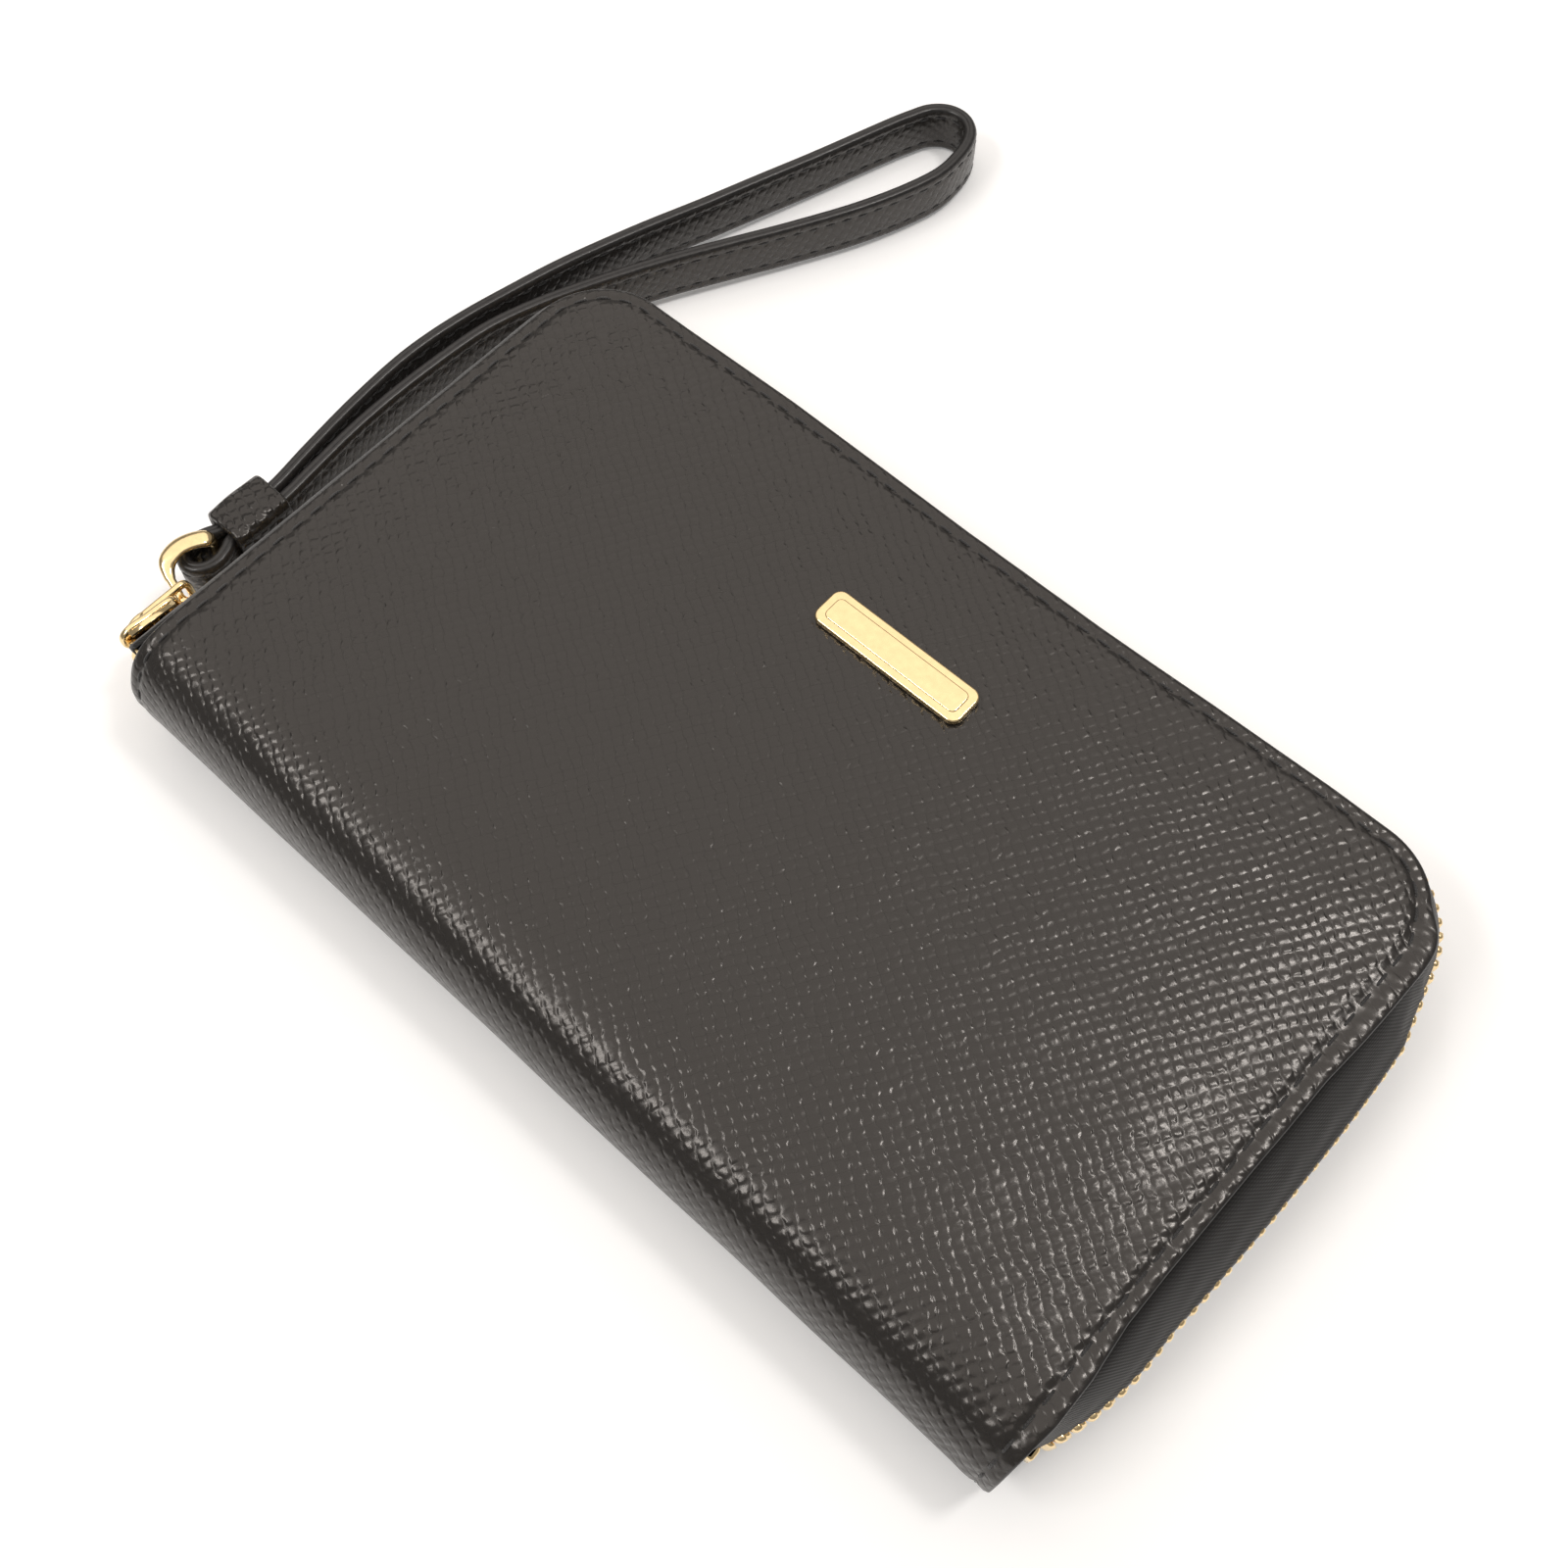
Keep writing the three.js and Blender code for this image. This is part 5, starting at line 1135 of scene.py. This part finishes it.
# ------------------------------------------------------------------ inside: sheets with turned edges
def sheet_obj(name, node, body, half_x, r0, r1, z0, z1, corner, mat, outer_up, seed, hem=True, stitch=True):
    """flat sheet between z0 and z1, its top edge turned and sewn; outer_up says which face looks at the room"""
    nx, nr = int(half_x * 2 / 2.0), int((r1 - r0) / 1.4)
    u = np.linspace(-1, 1, nx)
    # rows: fine near the free edge
    rr = np.concatenate([np.linspace(r0, r1 - 6, nr), np.linspace(r1 - 5.4, r1 - corner, 8), (r1 - corner + corner * np.sin(np.linspace(0.1, PI / 2, 6)))])
    rr = np.unique(np.round(rr, 4))
    tt = np.clip(rr - (r1 - corner), 0, corner)
    hw = half_x - corner + np.sqrt(np.maximum(0, corner ** 2 - tt ** 2))
    X = hw[:, None] * u[None]
    Rr = np.repeat(rr[:, None], nx, 1)
    d = np.minimum(half_x - np.abs(X), r1 - Rr)
    t = z1 - z0
    sg = 1 if outer_up else -1
    dz = 0.05 * waves(X, Rr, seed, 26) * sstep(1, 8, d)
    groove = -0.12 * np.exp(-((r1 - Rr - 2.2) / 0.4) ** 2) if hem else 0
    hemz = 0.10 * (1 - sstep(0.2, 2.4, r1 - Rr)) if hem else 0
    top = (z1 if outer_up else z0) + sg * (dz - 0.04 + groove + hemz)
    bot = (z0 if outer_up else z1) + sg * (dz * 0.5 + 0.03) + 0 * X
    A = np.stack([X, Y0 + Rr, top + 0 * X], -1)
    B = np.stack([X, Y0 + Rr, bot + 0 * X], -1)
    nw, nu = X.shape
    idx = [(0, j) for j in range(nu)] + [(i, nu - 1) for i in range(1, nw)] + [(nw - 1, j) for j in range(nu - 2, -1, -1)] + [(i, 0) for i in range(nw - 2, 0, -1)]
    I = np.array([i for i, j in idx]); J = np.array([j for i, j in idx])
    C = A[I, J]; Dn = B[I, J]
    tn = np.roll(C, -1, 0) - np.roll(C, 1, 0)
    tn[:, 2] = 0
    tn /= np.maximum(1e-9, np.linalg.norm(tn, axis=1))[:, None]
    O = np.stack([tn[:, 1], -tn[:, 0], 0 * tn[:, 0]], 1)
    if O[len(u) // 2, 1] > 0:
        O = -O
    verts = [A.reshape(-1, 3), B.reshape(-1, 3)]
    uvs = [np.stack([X, Rr], -1).reshape(-1, 2)] * 2
    off = nw * nu
    f = grid_faces(nw, nu) + [tuple(i + off for i in reversed(q)) for q in grid_faces(nw, nu)]
    prev = I * nu + J
    k0 = 2 * off
    nn_ = len(idx)
    for q, (fr, ou) in enumerate(((0.2, 0.10), (0.5, 0.15), (0.8, 0.10))):
        verts.append(C * (1 - fr) + Dn * fr + O * ou)
        uvs.append(np.stack([C[:, 0], C[:, 1] - Y0], -1))
        cur = np.arange(k0, k0 + nn_)
        for a_ in range(nn_):
            f.append((prev[a_], prev[(a_ + 1) % nn_], cur[(a_ + 1) % nn_], cur[a_]))
        prev = cur
        k0 += nn_
    lastr = off + I * nu + J
    for a_ in range(nn_):
        f.append((prev[a_], prev[(a_ + 1) % nn_], lastr[(a_ + 1) % nn_], lastr[a_]))
    Vv = np.vstack(verts)
    nm = 2 * (nw - 1) * (nu - 1)
    fm = f[:nm]
    q = fm[(nw // 2) * (nu - 1) + nu // 2]
    nrm_ = np.cross(Vv[q[1]] - Vv[q[0]], Vv[q[2]] - Vv[q[1]])
    if nrm_[2] * sg < 0:
        fm = [tuple(reversed(x)) for x in fm]
    fr_ = f[nm:]
    q = fr_[nu // 2]
    nrm_ = np.cross(Vv[q[1]] - Vv[q[0]], Vv[q[2]] - Vv[q[1]])
    if nrm_[1] > 0:
        fr_ = [tuple(reversed(x)) for x in fr_]
    o = obj_from(name, Vv, fm + fr_, mat, np.vstack(uvs))
    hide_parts(node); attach(o, body)
    if stitch:
        b_ = Build()
        xs = np.linspace(-half_x + 2.5, half_x - 2.5, 160)
        zz = (z1 if outer_up else z0) + sg * (-0.12 + 0.05)
        stitch_run(b_, np.column_stack([xs, np.full(160, Y(r1 - 2.2)), np.full(160, zz)]), np.repeat([[0, 0, float(sg)]], 160, 0), 3.0, 2.2, 0.15, 0.06)
        s_ = b_.obj(name + "_stitching", THREAD)
        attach(s_, body)
    return o


sheet_obj("slip_pocket_sheet", "back_slip_pocket", "back", 74, 14, 82, 3.8, 4.3, 3, LINING, True, 81)
for k in range(4):
    z1c = THICK - 3.1 - 0.4 - 0.3 - k * 0.65
    sheet_obj("card_pocket_leather_%d" % (k + 1), "card_pocket_%d" % (k + 1), "front", 72, 14, 84 - k * 10, z1c - 0.4, z1c, 1.5, POCKET, False, 83 + k)
sheet_obj("coin_wall_cloth_back", "coin_wall_back", "divider", 76, 9, 84, 8.7, 9.2, 2, LINING, False, 91, False, False)
sheet_obj("coin_wall_cloth_front", "coin_wall_front", "divider", 76, 9, 84, 10.8, 11.3, 2, LINING, True, 92, False, False)

# coin zip
CPY, COIN_Z = 94.0, 10.0
for side, o_ in (("back", -1), ("front", 1)):
    ln = np.array([[83.2, 1.22], [84.6, 1.3], [86.2, 1.75], [88.6, 3.2], [90.6, 4.0], [92.4, 4.05], [93.6, 3.45], [94.0, 2.7], [94.0, 1.5]])
    ln = catmull(ln, 26, False)
    d = np.gradient(ln, axis=0); d /= np.linalg.norm(d, axis=1)[:, None]
    nn = np.stack([d[:, 1], -d[:, 0]], 1)
    half = 0.2 + 0.3 * np.exp(-((np.arange(26) - 24) / 1.2) ** 2)
    ring = np.vstack([ln + nn * half[:, None], (ln - nn * half[:, None])[::-1]])
    xs = np.linspace(-70, 70, 90)
    Vv = np.stack([np.repeat(xs[:, None], len(ring), 1), Y0 + np.repeat(ring[:, 0][None], 90, 0) + 0.04 * waves(xs, 0 * xs, 95, 12)[:, None], COIN_Z + o_ * np.repeat(ring[:, 1][None], 90, 0)], -1).reshape(-1, 3)
    f = grid_faces(90, len(ring), False, True)
    f.append(tuple(range(len(ring))))
    f.append(tuple(89 * len(ring) + j for j in reversed(range(len(ring)))))
    per = np.concatenate([[0], np.cumsum(np.linalg.norm(np.diff(ring, axis=0), axis=1))])
    uv = np.stack(np.broadcast_arrays(xs[:, None], per[None]), -1).reshape(-1, 2)
    o = obj_from("coin_tape_cloth_" + side, Vv, outward_faces(Vv, f), TAPE, uv)
    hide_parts("coin_tape_" + side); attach(o, "divider")
    b = Build()
    st_ = np.array([[2.35, 0.28, 0.5], [2.22, 0.42, 0.8], [1.6, 0.5, 0.9], [0.8, 0.48, 0.88], [0.4, 0.4, 0.8], [-0.3, 0.34, 0.7], [-0.62, 0.26, 0.55], [-0.72, 0.14, 0.35]])
    ang = np.linspace(0, 2 * PI, 9)[:-1] + 0.2
    sx, sn = np.sign(np.cos(ang)) * np.abs(np.cos(ang)) ** 0.65, np.sign(np.sin(ang)) * np.abs(np.sin(ang)) ** 0.65
    c = -66 + 0.6 + (1.0 if o_ > 0 else 0)
    while c + 0.31 < 61.5:
        Xx = c + st_[:, 1][:, None] * sx
        Yy = Y(CPY) + st_[:, 2][:, None] * sn
        Zz = COIN_Z + o_ * np.repeat(st_[:, 0][:, None], len(ang), 1)
        Vv = np.stack([Xx, Yy, Zz], -1).reshape(-1, 3)
        f = grid_faces(len(st_), len(ang), False, True)
        f.append(tuple(range(len(ang))))
        f.append(tuple((len(st_) - 1) * len(ang) + j for j in reversed(range(len(ang)))))
        b.add(Vv, outward_faces(Vv, f))
        c += 2.0
    o = b.obj("coin_teeth_row_" + side, GOLD_T)
    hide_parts("coin_teeth_" + side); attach(o, "divider")
for side, x in (("left", -67.9), ("right", 67.0)):
    b = Build()
    rbox(b, x - 1.2, x + 1.2, Y(CPY) - 1.1, Y(CPY) + 1.1, COIN_Z - 2, COIN_Z + 2, 0.45)
    o = b.obj("coin_stop_metal_" + side, GOLD)
    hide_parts("coin_stop_" + side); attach(o, "divider")

cin, cout = CPY - 1.2, CPY + 1.2
b = Build()
ol = smooth_outline([[55.2, -2.7], [58.5, -3.1], [62.0, -3.25], [63.9, -2.7], [64.4, -1.4], [64.2, 0], [64.4, 1.4], [63.9, 2.7], [62.0, 3.25], [58.5, 3.1], [55.2, 2.7], [55.0, 0]], 60)
on_y = lambda V_: np.column_stack([V_[:, 0], V_[:, 2], COIN_Z + V_[:, 1]])
slab(b, ol, Y(cin - 0.8), Y(cin), 0.24, on_y)
slab(b, ol, Y(cout), Y(cout + 0.8), 0.24, on_y)
rbox(b, 62.6, 64.0, Y(cin - 0.2), Y(cout + 0.2), COIN_Z - 0.8, COIN_Z + 0.8, 0.2)
o = b.obj("coin_slider_shell", GOLD)
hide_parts("coin_slider_body"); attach(o, "coin_slider")
th = np.linspace(0, PI, 22)
COUT = cout + 0.8
path = np.column_stack([59.8 - 2.25 * np.cos(th), Y(COUT - 0.12) + 2.15 * np.sin(th) ** 0.8, np.full(22, COIN_Z)])
_, na, nb = frames(path, (0, 0, 1.0))
b = Build()
v, f, uv = tube(path, na, nb, rr_section(1.7, 0.72, 0.3, 3))
b.add(v, outward_faces(v, f), uv)
o = b.obj("coin_bridge_arch", GOLD)
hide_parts("coin_slider_bridge"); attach(o, "coin_slider")
# coin pull: flat tab with a window
b = Build()
px, yr = 59.8, Y(COUT + 0.85)
outer = smooth_outline([[px + 0.45, 1.2], [px + 0.3, 1.85], [px - 2.5, 2.1], [px - 7, 2.2], [px - 12.0, 2.3], [px - 13.5, 1.5], [px - 14.0, 0], [px - 13.5, -1.5], [px - 12.0, -2.3], [px - 7, -2.2], [px - 2.5, -2.1], [px + 0.3, -1.85], [px + 0.45, -1.2], [px + 0.5, 0]], 80)
inner = smooth_outline([[px - 0.45, 0.9], [px - 0.7, 1.2], [px - 2.0, 1.25], [px - 3.4, 1.2], [px - 3.6, 0.9], [px - 3.65, 0], [px - 3.6, -0.9], [px - 3.4, -1.2], [px - 2.0, -1.25], [px - 0.7, -1.2], [px - 0.45, -0.9], [px - 0.4, 0]], 80)
# match starting angles and walk both outlines together
ta = np.arctan2(inner[:, 1], inner[:, 0] - (px - 2.0));
ca_ = np.arctan2(outer[:, 1], outer[:, 0] - (px - 2.0))
inner = inner[np.argsort(ta)]; outer = outer[np.argsort(ca_)]
tt = np.linspace(-PI + 0.01, PI - 0.01, 80)
def by_angle(o_, cx_):
    an = np.arctan2(o_[:, 1], o_[:, 0] - cx_)
    k_ = np.argsort(an)
    an, q_ = an[k_], o_[k_]
    an = np.concatenate([an - 2 * PI, an, an + 2 * PI]); q_ = np.vstack([q_] * 3)
    return np.stack([np.interp(tt, an, q_[:, 0]), np.interp(tt, an, q_[:, 1])], 1)
outer, inner = by_angle(outer, px - 2.0), by_angle(inner, px - 2.0)
hh = 0.45
lv = [(outer, 0.18, -hh), (outer, 0.0, -hh + 0.16), (outer, 0.0, hh - 0.16), (outer, 0.18, hh), (inner, -0.12, hh), (inner, 0.0, hh - 0.12), (inner, 0.0, -hh + 0.12), (inner, -0.12, -hh)]
rings = []
for o_, ins, w_ in lv:
    c_ = np.array([px - 2.0, 0])
    dvec = o_ - c_
    l_ = np.linalg.norm(dvec, axis=1)[:, None]
    q_ = o_ - dvec / l_ * ins
    rings.append(np.column_stack([q_[:, 0], np.full(80, yr + w_), COIN_Z + q_[:, 1]]))
Vv = np.vstack(rings)
f = grid_faces(8, 80, True, True)
b.add(Vv, outward_faces(Vv, f))
o = b.obj("coin_pull_metal", GOLD)
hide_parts("coin_pull_tab"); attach(o, "coin_pull")


# gussets: pleated end walls, one piece below the divider and one above it
def gusset(side, o_, lower):
    if lower:
        ln = [[79.0, 4.05], [77.0, 4.4], [72.3, 5.9], [71.7, 6.3], [72.3, 6.8], [77.6, 7.7], [79.0, 8.4], [79.3, 9.2], [79.3, 10.0]]
    else:
        ln = [[79.3, 10.0], [79.3, 10.8], [79.0, 11.6], [77.6, 12.4], [72.3, 14.0], [71.7, 14.5], [72.3, 15.0], [77.0, 17.4], [79.0, 17.9]]
    ln = catmull(np.array(ln), 40, False)
    d = np.gradient(ln, axis=0); d /= np.linalg.norm(d, axis=1)[:, None]
    nn = np.stack([d[:, 1], -d[:, 0]], 1)
    ring = np.vstack([ln + nn * 0.2, (ln - nn * 0.2)[::-1]])
    ys_ = np.linspace(13.5, 82, 50)
    fold_ = 1 - 0.05 * waves(ys_, 0 * ys_, 99, 22)
    Xx = 79.3 - (79.3 - ring[:, 0])[None] * fold_[:, None]
    Vv = np.stack([o_ * Xx, np.repeat(Y0 + ys_[:, None], len(ring), 1), np.repeat(ring[:, 1][None], 50, 0)], -1).reshape(-1, 3)
    f = grid_faces(50, len(ring), False, True)
    f.append(tuple(range(len(ring))))
    f.append(tuple(49 * len(ring) + j for j in reversed(range(len(ring)))))
    per = np.concatenate([[0], np.cumsum(np.linalg.norm(np.diff(ring, axis=0), axis=1))])
    uv = np.stack(np.broadcast_arrays(ys_[:, None], per[None]), -1).reshape(-1, 2)
    o = obj_from("gusset_cloth_%s_%s" % (side, "lower" if lower else "upper"), Vv, outward_faces(Vv, f), GUSSET, uv)
    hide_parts("gusset_" + side)
    if lower:
        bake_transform(o)
    else:
        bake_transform(o)


for side, o_ in (("left", -1), ("right", 1)):
    gusset(side, o_, True)
    gusset(side, o_, False)

# CAD nodes that keep their shape: hidden boards, seam strip and washers
keep = {"back_stiffener": BOARD, "front_stiffener": BOARD, "badge_washer_left": GOLD, "badge_washer_right": GOLD, "coin_pocket_seam": woven("seam_cloth", (0.02, 0.02, 0.021), 0.4)}
for name, mt in keep.items():
    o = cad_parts[name]
    o.data.materials.clear()
    o.data.materials.append(mt)

# ------------------------------------------------------------------ floor and light
fl = bpy.data.meshes.new("floor")
g = 4.0
fl.from_pydata([(-g, -g, -0.0002), (g, -g, -0.0002), (g, g, -0.0002), (-g, g, -0.0002)], [], [(0, 1, 2, 3)])
floor = bpy.data.objects.new("floor", fl)
bpy.context.scene.collection.objects.link(floor)
fm = N("pale_floor")
fm.set(Base_Color=(0.93, 0.93, 0.93, 1), Roughness=0.75, Specular_IOR_Level=0.2)
fm.b.inputs["Emission Color"].default_value = (1, 1, 1, 1)
fm.b.inputs["Emission Strength"].default_value = 0.16
fl.materials.append(fm.mat)

bpy.context.scene.view_settings.view_transform = "Standard"
world = bpy.data.worlds.new("studio")
bpy.context.scene.world = world
world.use_nodes = True
world.node_tree.nodes["Background"].inputs[0].default_value = (1.0, 0.965, 0.93, 1)
world.node_tree.nodes["Background"].inputs[1].default_value = 0.27


def area(name, loc, target, size, power, colour=(1, 1, 1), sy=None):
    l = bpy.data.lights.new(name, "AREA")
    l.shape = "RECTANGLE"
    l.size, l.size_y = size, sy or size
    l.energy = power
    l.color = colour
    ob = bpy.data.objects.new(name, l)
    bpy.context.scene.collection.objects.link(ob)
    d = np.array(target, float) - np.array(loc, float)
    d /= np.linalg.norm(d)
    zax = -d
    xax = np.cross([0, 0, 1.0], zax)
    if np.linalg.norm(xax) < 1e-3:
        xax = np.array([1.0, 0, 0])
    xax /= np.linalg.norm(xax)
    yax = np.cross(zax, xax)
    mt = Matrix.Identity(4)
    for i in range(3):
        mt[i][0], mt[i][1], mt[i][2], mt[i][3] = xax[i], yax[i], zax[i], loc[i]
    ob.matrix_world = mt
    return ob


WARM = (1.0, 0.935, 0.875)


def at(d, dist=1.0):
    d = np.array(d, float)
    return tuple(d / np.linalg.norm(d) * dist)


# one wide soft box behind the object, and two smaller ones that catch the raised dashes of the grain
area("wide_softbox", (-0.48, 0.45, 1.0), (-0.48, 0.45, 0), 1.7, 9.5, WARM, 1.7)
area("spine_softbox", at((-0.30, -0.50, 0.87), 1.1), (0, 0, 0.01), 0.5, 3.4, (1, 0.97, 0.94), 0.16)
area("right_softbox", at((0.26, 0.34, 0.9), 1.1), (0, 0, 0.01), 0.17, 2.7, (1, 0.97, 0.94), 0.17)
